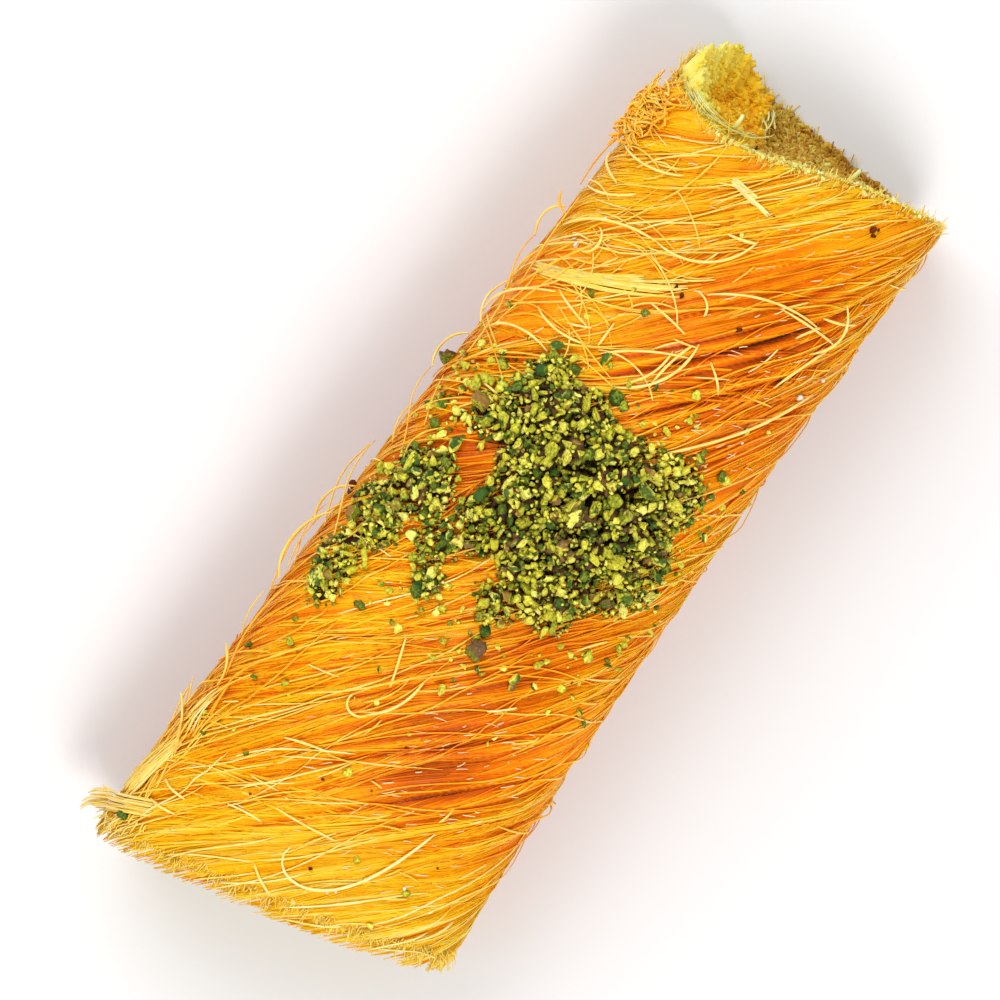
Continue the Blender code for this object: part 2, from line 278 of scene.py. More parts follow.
def ring_faces(rows: int, columns: int, close_rows: bool) -> Array:
    """Quads over a grid of vertices that is closed round its columns, and round its rows if asked.

    Args:
        rows: How many rings there are.
        columns: Vertices in each.
        close_rows: Whether the last ring joins the first.

    Returns:
        Vertex numbers, one row a quad.
    """
    row = np.arange(rows if close_rows else rows - 1)[:, None]
    column = np.arange(columns)[None, :]
    after, beside = (row + 1) % rows, (column + 1) % columns
    here, there = row * columns, after * columns
    corners = (here + column, here + beside, there + beside, there + column)
    return np.stack(np.broadcast_arrays(*corners), axis=-1).reshape(-1, 4)


def tapered(way: Array, less: float) -> Array:
    """Share of the radius that a strand has along its way, less at both ends: 1 - less |2 w - 1|^6."""
    return 1 - less * np.abs(2 * way - 1) ** 6


@dataclass
class Tubes:
    """Many round strands as one mesh, each closed at both ends.

    Each strand's ring at a point of its path is the path plus radius times (cos a * normal + sin a *
    side), for equal steps of a; side is the path's direction crossed with the normal.
    """

    sides: int = 3
    floor_gap: float = 0.05 * MM
    points: list[Array] = field(default_factory=list)
    faces: list[Array] = field(default_factory=list)
    caps: list[Array] = field(default_factory=list)
    bakes: list[Array] = field(default_factory=list)
    count: int = 0

    def add(self, paths: Array, normals: Array, radius: Array, bake: Array) -> None:
        """Adds strands.

        Args:
            paths: Centre points, strands by points by 3.
            normals: Directions away from the log, like paths.
            radius: Radius at each point, strands by points.
            bake: Browning at each point, strands by points.
        """
        number, length = paths.shape[:2]
        paths = paths.copy()
        paths[..., 2] = np.maximum(paths[..., 2], radius + self.floor_gap)
        ahead = unit(np.gradient(paths, axis=1))
        side = unit(np.cross(ahead, normals))
        up = np.cross(side, ahead)
        angle = TURN * (np.arange(self.sides) + 0.5) / self.sides
        ring = np.cos(angle)[:, None] * up[:, :, None, :] + np.sin(angle)[:, None] * side[:, :, None, :]
        rings = paths[:, :, None, :] + radius[:, :, None, None] * ring
        first = self.count + np.arange(number)[:, None, None] * (length * self.sides)
        quads = ring_faces(length, self.sides, False)[None] + first
        cap = np.arange(self.sides)
        ends = np.stack([cap[::-1], cap + (length - 1) * self.sides])[None] + first
        self.points.append(rings.reshape(-1, 3))
        self.faces.append(quads.reshape(-1, 4))
        self.caps.append(ends.reshape(-1, self.sides))
        self.bakes.append(np.repeat(np.broadcast_to(bake, (number, length)).ravel(), self.sides))
        self.count += number * length * self.sides

    def add_rods(self, roots: Array, aims: Array, curls: Array, radius: Array, bake: Array) -> None:
        """Adds short rods: root + aim w + curl w^2, for w from 0 to 1 in three steps.

        Args:
            roots: Where they start.
            aims: Where they point, as long as they are.
            curls: How far their tips are bent aside.
            radius: Radius of each.
            bake: Browning of each.
        """
        way = np.array([0.0, 0.55, 1.0])[None, :, None]
        paths = roots[:, None] + aims[:, None] * way + curls[:, None] * way**2
        normals = np.broadcast_to(np.cross(aims, curls + 0.01 * MM)[:, None], paths.shape)
        slim = np.array([1.0, 0.95, 0.7])[None, :]
        self.add(paths, normals, radius[:, None] * slim, bake[:, None])

    def piece(self, name: str) -> Piece:
        """The strands so far as one object, with their browning as the attribute bake."""
        points, bakes = np.concatenate(self.points), np.concatenate(self.bakes)
        return new_piece(name, points, self.faces + self.caps, bake=bakes)


# ---- finishes


class NodePad:
    """A material's nodes, with short ways to add the ones that are used here."""

    def __init__(self, name: str) -> None:
        """Starts a material with one Principled shader.

        Args:
            name: Its name.
        """
        self.material = bpy.data.materials.new(name)
        self.material.use_nodes = True
        self.tree = self.material.node_tree
        self.shader = self.tree.nodes["Principled BSDF"]
        self.place = self.add("TexCoord").outputs["Object"]

    def add(self, kind: str, inputs: dict | None = None, **settings: str) -> bpy.types.Node:
        """Adds a node.

        Args:
            kind: Its type, after "ShaderNode".
            inputs: A socket to link, or a number, for each input by name or place.
            settings: The node's own settings.

        Returns:
            The node.
        """
        node = self.tree.nodes.new("ShaderNode" + kind)
        for key, value in settings.items():
            setattr(node, key, value)
        for key, value in (inputs or {}).items():
            self.feed(value, node.inputs[key])
        return node

    def feed(self, value: Socket | float, target: Socket | str) -> None:
        """Links a socket to an input or sets a number there; a name means the shader's input.

        Args:
            value: What it is fed with.
            target: The input.
        """
        target = self.shader.inputs[target] if isinstance(target, str) else target
        if isinstance(value, Socket):
            self.tree.links.new(value, target)
        else:
            target.default_value = value

    def set(self, **values: float | tuple) -> None:
        """Sets the shader's own inputs; an underscore in a name stands for a space."""
        for key, value in values.items():
            self.shader.inputs[key.replace("_", " ")].default_value = value

    def attribute(self, name: str, output: str = "Fac") -> Socket:
        """A number, or with the output Vector a vector, that the mesh carries."""
        return self.add("Attribute", attribute_name=name).outputs[output]

    def noise(self, size: float, detail: float = 2.0, place: Socket | None = None) -> Socket:
        """Noise about 0.5 with patches of a size in metres, in the piece's own coordinates or others."""
        inputs = {"Scale": 1.0 / size, "Detail": detail, "Vector": place or self.place}
        return self.add("TexNoise", inputs).outputs["Fac"]

    def math(self, kind: str, a: Socket, b: Socket | float) -> Socket:
        """A sum, product or other operation on two numbers."""
        return self.add("Math", {0: a, 1: b}, operation=kind).outputs["Value"]

    def shifted(self, base: Socket, wave: Socket, much: float) -> Socket:
        """base + (wave - 0.5) * much."""
        return self.math("ADD", base, self.math("MULTIPLY", self.math("SUBTRACT", wave, 0.5), much))

    def ramp(self, value: Socket, stops: tuple) -> Socket:
        """A colour ramp over (place, colour) stops.

        Args:
            value: Where on the ramp.
            stops: Its places and colours.

        Returns:
            The colour.
        """
        node = self.add("ValToRGB", {"Fac": value})
        marks = node.color_ramp.elements
        while len(marks) < len(stops):
            marks.new(0.5)
        for mark, (place, colour) in zip(marks, stops):
            mark.position, mark.color = place, (*colour, 1.0)
        return node.outputs["Color"]

    def between(self, value: Socket, low: float, high: float) -> Socket:
        """A noise's usual range, 0.3 to 0.7, spread over low to high."""
        inputs = {"Value": value, "From Min": 0.3, "From Max": 0.7, "To Min": low, "To Max": high}
        return self.add("MapRange", inputs).outputs["Result"]

    def mix(self, share: Socket, a: Socket, b: Socket) -> Socket:
        """Colour a where share is 0, colour b where it is 1."""
        return self.add("Mix", {0: share, 6: a, 7: b}, data_type="RGBA").outputs[2]

    def bump(self, height: Socket, depth: float, strength: float) -> None:
        """Raises the surface's light, not its mesh, by a height times depth metres."""
        node = self.add("Bump", {"Strength": strength, "Distance": depth, "Height": height})
        self.feed(node.outputs["Normal"], "Normal")


@dataclass(frozen=True)
class DoughFinish:
    """Syrup-soaked baked strands: pale gold to brown by how far each is baked, softly glossy.

    Patches and relief are noises, given by size and detail; sheen is the least and most roughness.
    """

    name: str = "baked_dough"
    stops: tuple = (
        (0.00, (1.00, 0.71, 0.13)),
        (0.14, (1.00, 0.59, 0.018)),
        (0.30, (1.00, 0.47, 0.003)),
        (0.44, (1.00, 0.34, 0.002)),
        (0.60, (0.82, 0.17, 0.001)),
        (0.76, (0.54, 0.085, 0.001)),
        (0.90, (0.20, 0.030, 0.002)),
        (1.00, (0.05, 0.012, 0.002)),
    )
    mottle: float = 0.14
    gloss: float = 0.10
    coat_blur: float = 0.12
    wander: float = 0.35
    spread: Triple = (1.0, 0.9, 0.8)
    reach: float = 0.12 * MM
    grain: float = 0.05 * MM
    bumps: float = 0.6
    patches: Pair = (1.1 * MM, 3.0)
    relief: Pair = (0.28 * MM, 2.0)
    sheen: Pair = (0.24, 0.46)
    sheen_size: float = 1.7 * MM
    shine: float = 0.06

    def tone(self, pad: NodePad) -> tuple[Socket, Socket]:
        """How far it is baked, and the height of its finest relief."""
        bake = pad.shifted(pad.attribute("bake"), pad.noise(*self.patches), self.mottle)
        return bake, pad.noise(*self.relief)

    def make(self) -> Material:
        """The material, whose colour follows the attribute bake.

        Returns:
            The material.
        """
        pad = NodePad(self.name)
        bake, fine = self.tone(pad)
        pad.feed(pad.ramp(bake, self.stops), "Base Color")
        pad.feed(pad.between(pad.noise(self.sheen_size), *self.sheen), "Roughness")
        pad.set(Coat_Weight=self.gloss, Coat_Roughness=self.coat_blur, Specular_IOR_Level=self.shine)
        pad.set(Subsurface_Weight=self.wander, Subsurface_Radius=self.spread, Subsurface_Scale=self.reach)
        pad.bump(fine, self.grain, self.bumps)
        return pad.material


@dataclass(frozen=True)
class LooseFinish(DoughFinish):
    """Strands that lie over the others: creamier, which is partly painted highlight, with a sharper gloss.
    """

    name: str = "loose_dough"
    stops: tuple = (
        (0.00, (1.00, 0.79, 0.32)),
        (0.14, (1.00, 0.66, 0.10)),
        (0.30, (1.00, 0.50, 0.014)),
        (0.44, (1.00, 0.35, 0.003)),
        (0.60, (0.82, 0.18, 0.001)),
        (1.00, (0.20, 0.030, 0.002)),
    )
    gloss: float = 0.4
    coat_blur: float = 0.06


@dataclass(frozen=True)
class BedFinish(DoughFinish):
    """Packed dough with syrup between its strands: streaks along the winding, in which light wanders.

    The attribute lie gives each place its coordinates across and, much shortened, along the winding.
    """

    name: str = "packed_dough"
    streak: float = 0.38
    wander: float = 0.4
    spread: Triple = (1.0, 0.45, 0.06)
    reach: float = 1.0 * MM
    grain: float = 0.11 * MM
    patches: Pair = (2.2 * MM, 3.0)
    thin: Pair = (0.22 * MM, 3.0)
    wide: Pair = (0.9 * MM, 2.0)

    def tone(self, pad: NodePad) -> tuple[Socket, Socket]:
        """How far it is baked and its relief, both drawn out into streaks.

        Args:
            pad: Where its nodes go.

        Returns:
            The browning and the relief.
        """
        lie = pad.attribute("lie", "Vector")
        thin, wide = pad.noise(*self.thin, lie), pad.noise(*self.wide, lie)
        bake = pad.shifted(pad.attribute("bake"), pad.noise(*self.patches), self.mottle)
        bake = pad.shifted(bake, thin, -self.streak)
        return pad.shifted(bake, wide, -self.streak * 0.7), thin


@dataclass(frozen=True)
class CutFinish(DoughFinish):
    """Unbrowned inside of the roll: pale, yellow-green and moist, down to amber where syrup soaks it."""

    name: str = "cut_dough"
    stops: tuple = (
        (0.00, (0.88, 0.88, 0.36)),
        (0.22, (0.82, 0.66, 0.11)),
        (0.48, (0.64, 0.37, 0.045)),
        (0.75, (0.44, 0.20, 0.018)),
        (1.00, (0.24, 0.055, 0.004)),
    )
    mottle: float = 0.5
    gloss: float = 0.04
    wander: float = 0.2
    spread: Triple = (1.0, 0.8, 0.25)
    reach: float = 0.8 * MM
    grain: float = 0.15 * MM
    bumps: float = 0.7
    patches: Pair = (0.8 * MM, 4.0)
    relief: Pair = (0.4 * MM, 3.0)
    sheen: Pair = (0.32, 0.62)
    sheen_size: float = 1.3 * MM
    shine: float = 0.04


@dataclass(frozen=True)
class NutFinish:
    """Chopped pistachio: yellow-green flesh, darker green outside, purple-brown where skin is left."""

    name: str = "ground_pistachio"
    flesh: tuple = (
        (0.0, (0.05, 0.11, 0.010)),
        (0.3, (0.20, 0.25, 0.012)),
        (0.55, (0.52, 0.49, 0.026)),
        (0.8, (0.78, 0.70, 0.045)),
        (1.0, (0.98, 0.92, 0.20)),
    )
    rind: tuple = (
        (0.0, (0.025, 0.085, 0.010)),
        (0.5, (0.10, 0.16, 0.015)),
        (0.7, (0.36, 0.17, 0.04)),
        (0.9, (0.18, 0.085, 0.035)),
        (1.0, (0.05, 0.016, 0.004)),
    )

    def make(self) -> Material:
        """The material; tint and skin pick a crumb's own colours, flesh says where it was cut open.

        Returns:
            The material.
        """
        pad = NodePad(self.name)
        tint = pad.shifted(pad.attribute("tint"), pad.noise(0.3 * MM, 4.0), 1.3)
        open_cut = pad.shifted(pad.attribute("flesh"), pad.noise(0.4 * MM, 3.0), 1.3)
        rind = pad.ramp(pad.attribute("skin"), self.rind)
        pad.feed(pad.mix(open_cut, rind, pad.ramp(tint, self.flesh)), "Base Color")
        pad.feed(pad.between(pad.noise(0.8 * MM), 0.55, 0.8), "Roughness")
        pad.set(Specular_IOR_Level=0.25)
        pad.bump(pad.noise(0.22 * MM, 2.0), 0.17 * MM, 0.9)
        return pad.material


@dataclass(frozen=True)
class GlintFinish:
    """Beads and streaks of syrup, white to faintly yellow as painted glints: smooth, and part of the light
    goes through.
    """

    name: str = "painted_glint_beads"
    white: Triple = (0.98, 0.96, 0.92)
    yellow: Triple = (0.95, 0.86, 0.60)
    clearness: float = 0.25

    def make(self) -> Material:
        """The material, a little uneven.

        Returns:
            The material.
        """
        pad = NodePad(self.name)
        pad.feed(pad.ramp(pad.noise(0.6 * MM, 3.0), ((0.36, self.white), (0.70, self.yellow))), "Base Color")
        pad.set(Roughness=0.12, IOR=1.46, Transmission_Weight=self.clearness)
        pad.bump(pad.noise(0.5 * MM, 2.0), 0.2 * MM, 0.5)
        return pad.material


@dataclass(frozen=True)
class FloorFinish:
    """A plain pale table."""

    name: str = "pale_table"
    colour: Triple = (0.74, 0.74, 0.75)

    def make(self) -> Material:
        """The material: near white, with the faintest unevenness in its sheen.

        Returns:
            The material.
        """
        pad = NodePad(self.name)
        pad.set(Base_Color=(*self.colour, 1.0))
        pad.feed(pad.between(pad.noise(0.08, 2.0), 0.5, 0.6), "Roughness")
        return pad.material


# ---- what a piece stands for


class Part(Enum):
    """The name of a slot, which is not used here, and the CAD node that the pieces replace."""

    DOUGH = ("baked_dough", "dough_roll")
    FILLING = ("soft_filling", "filling")
    NUTS = ("ground_pistachio", "pistachio_heap")


def settle(part: Part, finish: Material, *pieces: Piece) -> None:
    """Dresses pieces, and says what they ride on and the solid that they replace.

    Args:
        part: What the pieces stand for.
        finish: Their finish.
        pieces: The pieces.
    """
    slot, node = part.value
    for piece in pieces:
        piece.data.materials.append(finish)
        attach(piece, "root")
        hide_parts(node)
        LOG.info("%s: %d faces, finish %s", piece.name, len(piece.data.polygons), finish.name)


# ---- how strands lie


@dataclass
class Lay:
    """Where strands start on the skin and how they run: arrays with one number a strand.

    Heading and bend are in degrees from +X towards -Y, over the winding's own heading at that place.
    The lift over the skin is lift + rise * sin(pi w) + back * (1 - w)^4 + tip * w^4 for w from 0 to 1
    along the strand.
    """

    turn: Array
    share: Array
    length: Array
    heading: Array
    bend: Array
    lift: Array
    rise: Array
    sway: Array
    wave: Array
    phase: Array
    foot_fray: Array
    head_fray: Array
    tip: Array
    back: Array

    @classmethod
    def of(cls, count: int, **given: Array | float) -> "Lay":
        """A lay of count strands, in which what isn't given is nought.

        Args:
            count: How many strands.
            given: Arrays or numbers for some of the fields.

        Returns:
            The lay.
        """
        names = cls.__dataclass_fields__
        arrays = {n: np.broadcast_to(np.asarray(given.get(n, 0.0), float), (count,)) for n in names}
        return cls(**arrays)


@dataclass
class Winding:
    """How strands wind round the log: the lines they follow, their locks and their browning."""

    skin: Skin
    twist: float = 1.08
    top_more: float = 0.10
    drift: float = 0.010
    comb: float = 0.0065
    lie_stretch: float = 0.055
    groove: float = 0.24 * MM
    ridge: float = 0.07 * MM
    fan: float = 0.06
    last_start: float = 0.93  # no strand starts beyond this share
    slanted: float = 9.5 * MM  # what both cuts' slants take off the length
    # Browning: plain skin; each cut's edge, as its reach, skew and side, and its gold, as how wide and
    # how much; the sides low down, as from what height and how much on the round and the square
    # side, which is partly painted shade.
    plain: float = 0.43
    foot_edge: Triple = (59.0, 0.25, 21.0)
    foot_gold: Pair = (12.0, 0.20)
    head_edge: Triple = (53.0, 0.14, 18.0)
    head_gold: Pair = (9.0, 0.06)
    low_brown: Triple = (15.0, 0.16, 0.08)
    mottle: float = 0.05
    # Patches, each x, y, spread along x and along y, and how much; the darker ones on the round side are
    # partly painted shade.
    browner: tuple = (
        (-30.0, -8.0, 9.0, 6.0, 0.20), (-12.0, -9.0, 11.0, 7.0, 0.19), (0.0, 12.0, 10.0, 5.0, 0.22),
        (21.0, -6.0, 9.0, 8.0, 0.18), (33.0, -11.0, 15.0, 6.0, 0.17), (-22.0, 2.0, 9.0, 5.0, 0.06),
        (-30.0, 19.0, 24.0, 2.4, 0.10), (34.0, 15.0, 9.0, 5.0, -0.12), (23.0, 8.0, 7.0, 5.0, -0.10),
        (50.0, -5.0, 6.0, 6.0, -0.14), (46.0, 8.0, 6.0, 5.0, -0.04), (-20.0, 10.0, 12.0, 5.0, -0.05),
    )

    def stream(self, turn: Array, share: Array, layer: int) -> Array:
        """Which line of the winding runs through a place.

        It is turn - twist * share, bent a little further over the top, slowly all over, and quickly in
        a way of its own for each layer.

        Args:
            turn: Share of the girth passed.
            share: Way from foot to head.
            layer: Number of the layer, which picks how it is combed.

        Returns:
            Number of the line, in turns.
        """
        more = self.top_more * (share - 0.5) * np.cos(TURN * turn)
        slow = self.drift * ripples(turn, share, 41, 1)
        quick = self.comb * ripples(turn, share, 500 + layer, 5, 9)
        return turn - self.twist * share - more + slow + quick

    def slope(self, turn: Array, share: Array, layer: int, step: float = 0.002) -> Array:
        """Turns gained for one unit of share along a line: the ratio of the stream's two slopes.

        Args:
            turn: Share of the girth passed.
            share: Way from foot to head.
            layer: Number of the layer, which picks how it is combed.
            step: How far either way the slopes are taken.

        Returns:
            The slope.
        """
        across = self.stream(turn + step, share, layer) - self.stream(turn - step, share, layer)
        ahead = self.stream(turn, share + step, layer) - self.stream(turn, share - step, layer)
        return -ahead / across

    def waves(self, turn: Array, share: Array, seed: int, crests: tuple[int, int], count: int) -> Array:
        """Streaks of about unit height: a sum of sin(2 pi (n stream + m share) + phase).

        The whole numbers n lie between the two crests, and m is up to fan * n either way, so that
        streaks cross at small angles and end.

        Args:
            turn: Share of the girth passed.
            share: Way from foot to head.
            seed: Seed of the draws.
            crests: Least and most n.
            count: How many sines are added.

        Returns:
            Heights.
        """
        stream, draw, total = self.stream(turn, share, 0), seeded(seed), 0.0
        for _ in range(count):
            n = int(draw.integers(*crests))
            m = n * draw.uniform(-self.fan, self.fan)
            total = total + np.sin(TURN * (n * stream + m * share) + draw.uniform(0, TURN))
        return total / math.sqrt(count)

    def relief(self, turn: Array, share: Array) -> Array:
        """Height of the locks and grooves."""
        return self.groove * self.waves(turn, share, 61, (8, 44), 9)

    def ridges(self, turn: Array, share: Array) -> Array:
        """Height of the finer ridges, the width of a few strands."""
        return self.ridge * self.waves(turn, share, 63, (40, 105), 12)

    def laid(self, x: Array, y: Array, lift: Array = 0.0, more: Array = 0.0) -> Array:
        """Points on the upper skin's locks and grooves over the places (x, y), lifted off them."""
        turn, share = self.skin.over(x, y)
        return self.skin.point(turn, share, 1.0, lift + self.relief(turn, share) + more)

    def lie(self, turn: Array, share: Array) -> Array:
        """Coordinates for streaks: a circle as long as the girth, and the way along, much shortened.

        Args:
            turn: Share of the girth passed.
            share: Way from foot to head.

        Returns:
            Three coordinates for each place.
        """
        around, radius = TURN * self.stream(turn, share, 0), self.skin.girth / TURN
        along = self.lie_stretch * self.skin.length * (share + 0.3 * np.cos(TURN * turn))
        rings = np.broadcast_arrays(radius * np.cos(around), radius * np.sin(around), along)
        return np.stack(rings, axis=-1)

    def walk(self, lay: Lay, steps: int, layer: int) -> tuple[Array, Array, Array]:
        """Follows the strands over the skin.

        Each step goes cos(heading) along x and sin(heading) round the girth, and the heading is that of
        the line of the winding. Lines of equal share slant as the cuts do, which is taken off the way
        along. A strand that runs out over a cut is shortened there and dealt its points anew, so its
        way ends short of 1.

        Args:
            lay: The strands.
            steps: Points on each strand.
            layer: Number of the layer, which picks how it is combed.

        Returns:
            turn, share and the way w along each strand, strands by points.
        """
        skin, number = self.skin, len(lay.turn)
        turn, share = np.empty((number, steps)), np.empty((number, steps))
        turn[:, 0], share[:, 0] = lay.turn, np.clip(lay.share, -lay.foot_fray, self.last_start)
        step = lay.length / (steps - 1)
        span = skin.length - self.slanted
        for k in range(1, steps):
            t, s, way = turn[:, k - 1], share[:, k - 1], (k - 1) / (steps - 1)
            slant = (skin.foot_skew * (1 - s) + skin.head_skew * s) * np.cos(TURN * t)
            gained = skin.girth * self.slope(t, s, layer)
            turned = lay.heading + lay.bend * way
            turned = turned + lay.sway * np.sin(TURN * way * lay.length / lay.wave + lay.phase)
            angle = np.arctan2(gained, span + slant * gained) + np.radians(turned)
            around = step * np.sin(angle)
            turn[:, k] = t + around / skin.girth
            share[:, k] = s + (step * np.cos(angle) - slant * around) / span
        end = 1 + lay.head_fray[:, None]
        inside = np.cumprod(share <= end, axis=1).sum(axis=1)
        last = np.clip(inside, 3, steps) - 1
        place = np.linspace(0, 1, steps)[None, :] * last[:, None]
        low = np.minimum(place.astype(int), steps - 2)
        part, row = place - low, np.arange(number)[:, None]
        turn = turn[row, low] * (1 - part) + turn[row, low + 1] * part
        share = share[row, low] * (1 - part) + share[row, low + 1] * part
        return turn, share, place / (steps - 1)

    def toast(self, points: Array) -> Array:
        """How far the skin is browned at each point, 0 to 1.

        Gold near both cuts, foot most of all, darker low down, most on the round side, and darker or
        paler in patches, each a bell over x and y. The darkening low down and the darker patches on
        the round side are partly painted shade.

        Args:
            points: Points on the skin.

        Returns:
            The browning at each.
        """
        x, y, z = points[..., 0] / MM, points[..., 1] / MM, points[..., 2] / MM
        (reach, skew, side), (wide, paler) = self.foot_edge, self.foot_gold
        value = self.plain - paler * np.exp(-(((x + reach - skew * (side - y)) / wide) ** 2))
        (reach, skew, side), (wide, paler) = self.head_edge, self.head_gold
        value = value - paler * np.exp(-(((reach + skew * (side - y) - x) / wide) ** 2))
        for at_x, at_y, wide, deep, more in self.browner:
            value = value + more * np.exp(-(((x - at_x) / wide) ** 2) - ((y - at_y) / deep) ** 2)
        height, round_side, square_side = self.low_brown
        # Darker low down on both sides, most on the round side: partly painted shade.
        low = np.clip((height - z) / height, 0, 1) * np.where(y < 0, round_side, square_side)
        return value + low + self.mottle * ripples(x / 60, y / 60, 77, 2)


# ---- the dough


class Layer(Enum):
    """The layers of locks, from the bed outwards."""

    LOWER = 1
    MIDDLE = 2
    UPPER = 3


@dataclass(frozen=True)
class LockLayer:
    """One layer of locks: how many, how high they lie and how they vary."""

    locks: int
    strands: int
    lift: Pair
    wander: float
    half_width: Pair
    # Painted shade and light: browning added to a layer's strands, more for the lower layers and less than
    # none for the upper one.
    lighter: float
    thick: float


@dataclass
class Dough:
    """The wrapper: a bed of packed dough and the locks of strands wound over and half into it."""

    skin: Skin
    winding: Winding
    radius: float = 0.115 * MM
    steps: int = 20
    bed_lift: float = -0.19 * MM
    bed_columns: int = 640
    bed_rows: int = 220
    wall_rows: int = 14
    bore_rows: int = 6
    cut_inset: float = 0.9 * MM
    pocket_place: Pair = (11.2 * MM, 13.5 * MM)
    pocket_spread: Pair = (5.3 * MM, 9.0 * MM)
    pocket_depth: float = 4.0 * MM
    crown: float = 0.07 * MM
    # Painted shade and light: how much the relief darkens the browning in the grooves and lightens it on the
    # crests.
    shading: float = 0.11
    # Painted shade between the strands: the bed lies in their gaps.
    soaked: float = 0.07  # how much darker the bed is than the strands
    tucked: float = 0.055  # how far the cuts' outer rows draw in from the rim
    golden: float = 0.618034  # locks start this share of a turn apart, which spreads them evenly
    aslant: float = 0.72  # share of a step aside that goes round the girth, and back along
    lock_length: Pair = (34.0, 66.0)
    layers: dict = field(default_factory=lambda: {
        Layer.LOWER: LockLayer(170, 13, (-0.33 * MM, -0.25 * MM), 1.5, (1.4 * MM, 2.8 * MM), 0.08, 1.1),
        Layer.MIDDLE: LockLayer(150, 12, (-0.27 * MM, -0.17 * MM), 3.5, (0.8 * MM, 2.0 * MM), 0.00, 1.2),
        Layer.UPPER: LockLayer(130, 10, (-0.22 * MM, -0.09 * MM), 6.5, (0.4 * MM, 1.2 * MM), -0.08, 1.6),
    })
    singles: int = 380

    def pocket(self, points: Array) -> Array:
        """Depth of the hollow that a fold leaves in the head's cut: a bell over y and z."""
        reach = ((points[..., 1:] - self.pocket_place) / self.pocket_spread) ** 2
        return self.pocket_depth * np.exp(-(reach[..., 0] + reach[..., 1]))

    def sunk(self, z: Array) -> Array:
        """How far a cut's packed face lies behind the knife's plane: less and less towards the floor."""
        return self.cut_inset * np.clip(z / (2.5 * MM) - 0.1, 0, 1)

    def bed(self) -> Piece:
        """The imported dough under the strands: a ring of rows that is closed both ways.

        The rows run out along the skin from foot to head, in over the head's cut, back through the
        bore and out over the foot's cut. The skin's rows carry the grooves and ridges as fine as
        strands; the cuts are grainy, and the head's has its pocket.

        Returns:
            The piece.
        """
        outer = [(s, 1.0, 1.0) for s in np.linspace(0, 1, self.bed_rows)]
        shrink = np.linspace(0.985, self.skin.bore_share, self.wall_rows)
        head = [(1.0, s, 0.0) for s in shrink]
        bore = [(s, self.skin.bore_share, 0.0) for s in np.linspace(1, 0, self.bore_rows + 2)[1:-1]]
        foot = [(0.0, s, 0.0) for s in shrink[::-1]]
        rows = np.array(outer + head + bore + foot)
        share, scale, skin_row = (rows[:, k, None] for k in range(3))
        turn = (np.arange(self.bed_columns) / self.bed_columns)[None, :]
        relief = self.winding.relief(turn, share) + self.winding.ridges(turn, share)
        lift = np.where(skin_row > 0, self.bed_lift + relief, 0.0)
        scale = np.where(skin_row > 0, scale, scale - self.tucked * (scale - 0.6))
        points = self.skin.point(turn, share, scale, lift)
        on_cut = (skin_row == 0) & ((share == 0) | (share == 1))
        draw = seeded(17)
        rough = draw.uniform(-0.35, 0.35, points.shape[:2]) * MM
        hollow = np.where(share == 1, self.pocket(points), 0.0)
        inset = self.sunk(points[..., 2]) * np.where(share == 1, -1, 1)
        points[..., 0] += np.where(on_cut, rough - hollow + inset, 0.0)
        # Painted shade: the bed is darker than the strands on it, darker in the grooves, and lighter on the
        # crests.
        painted_shade = self.soaked - self.shading * relief / self.winding.groove
        bake = np.where(skin_row > 0, self.winding.toast(points) + painted_shade, 0.25)
        faces = ring_faces(len(rows), self.bed_columns, True)[:, ::-1]
        lie = self.winding.lie(turn, share)
        return new_piece("dough_bed", points.reshape(-1, 3), [faces], bake=bake, lie=lie)

    def lay_out(self, name: str, lay: Lay, layer: int, radius: Array, own: Array, sides: int = 3) -> Piece:
        """Walks strands over the skin and makes them as tubes.

        A strand that starts short of the foot's cut runs out over it, and isn't lifted at its back.

        Args:
            name: Name of the piece.
            lay: The strands.
            layer: Number of the layer.
            radius: Radius of each strand.
            own: Browning that each strand has over its place's.
            sides: How many sides a tube has.

        Returns:
            The piece.
        """
        turn, share, way = self.winding.walk(lay, self.steps, layer)
        bow = lay.rise[:, None] * np.sin(math.pi * way)
        back = np.where(lay.share < 0, 0.0, lay.back)[:, None]
        ends = lay.tip[:, None] * way**4 + back * (1 - way) ** 4
        relief = self.winding.relief(turn, share)
        lift = lay.lift[:, None] + bow + ends + relief
        paths = self.skin.point(turn, share, 1.0, lift)
        # Strands are darker in the grooves and paler on the crests: painted shade and light.
        bake = self.winding.toast(paths) + own[:, None] - 0.7 * self.shading * relief / self.winding.groove
        tubes = Tubes(sides)
        tubes.add(paths, self.skin.outward(turn, share), radius[:, None] * tapered(way, 0.5), bake)
        return tubes.piece(name)

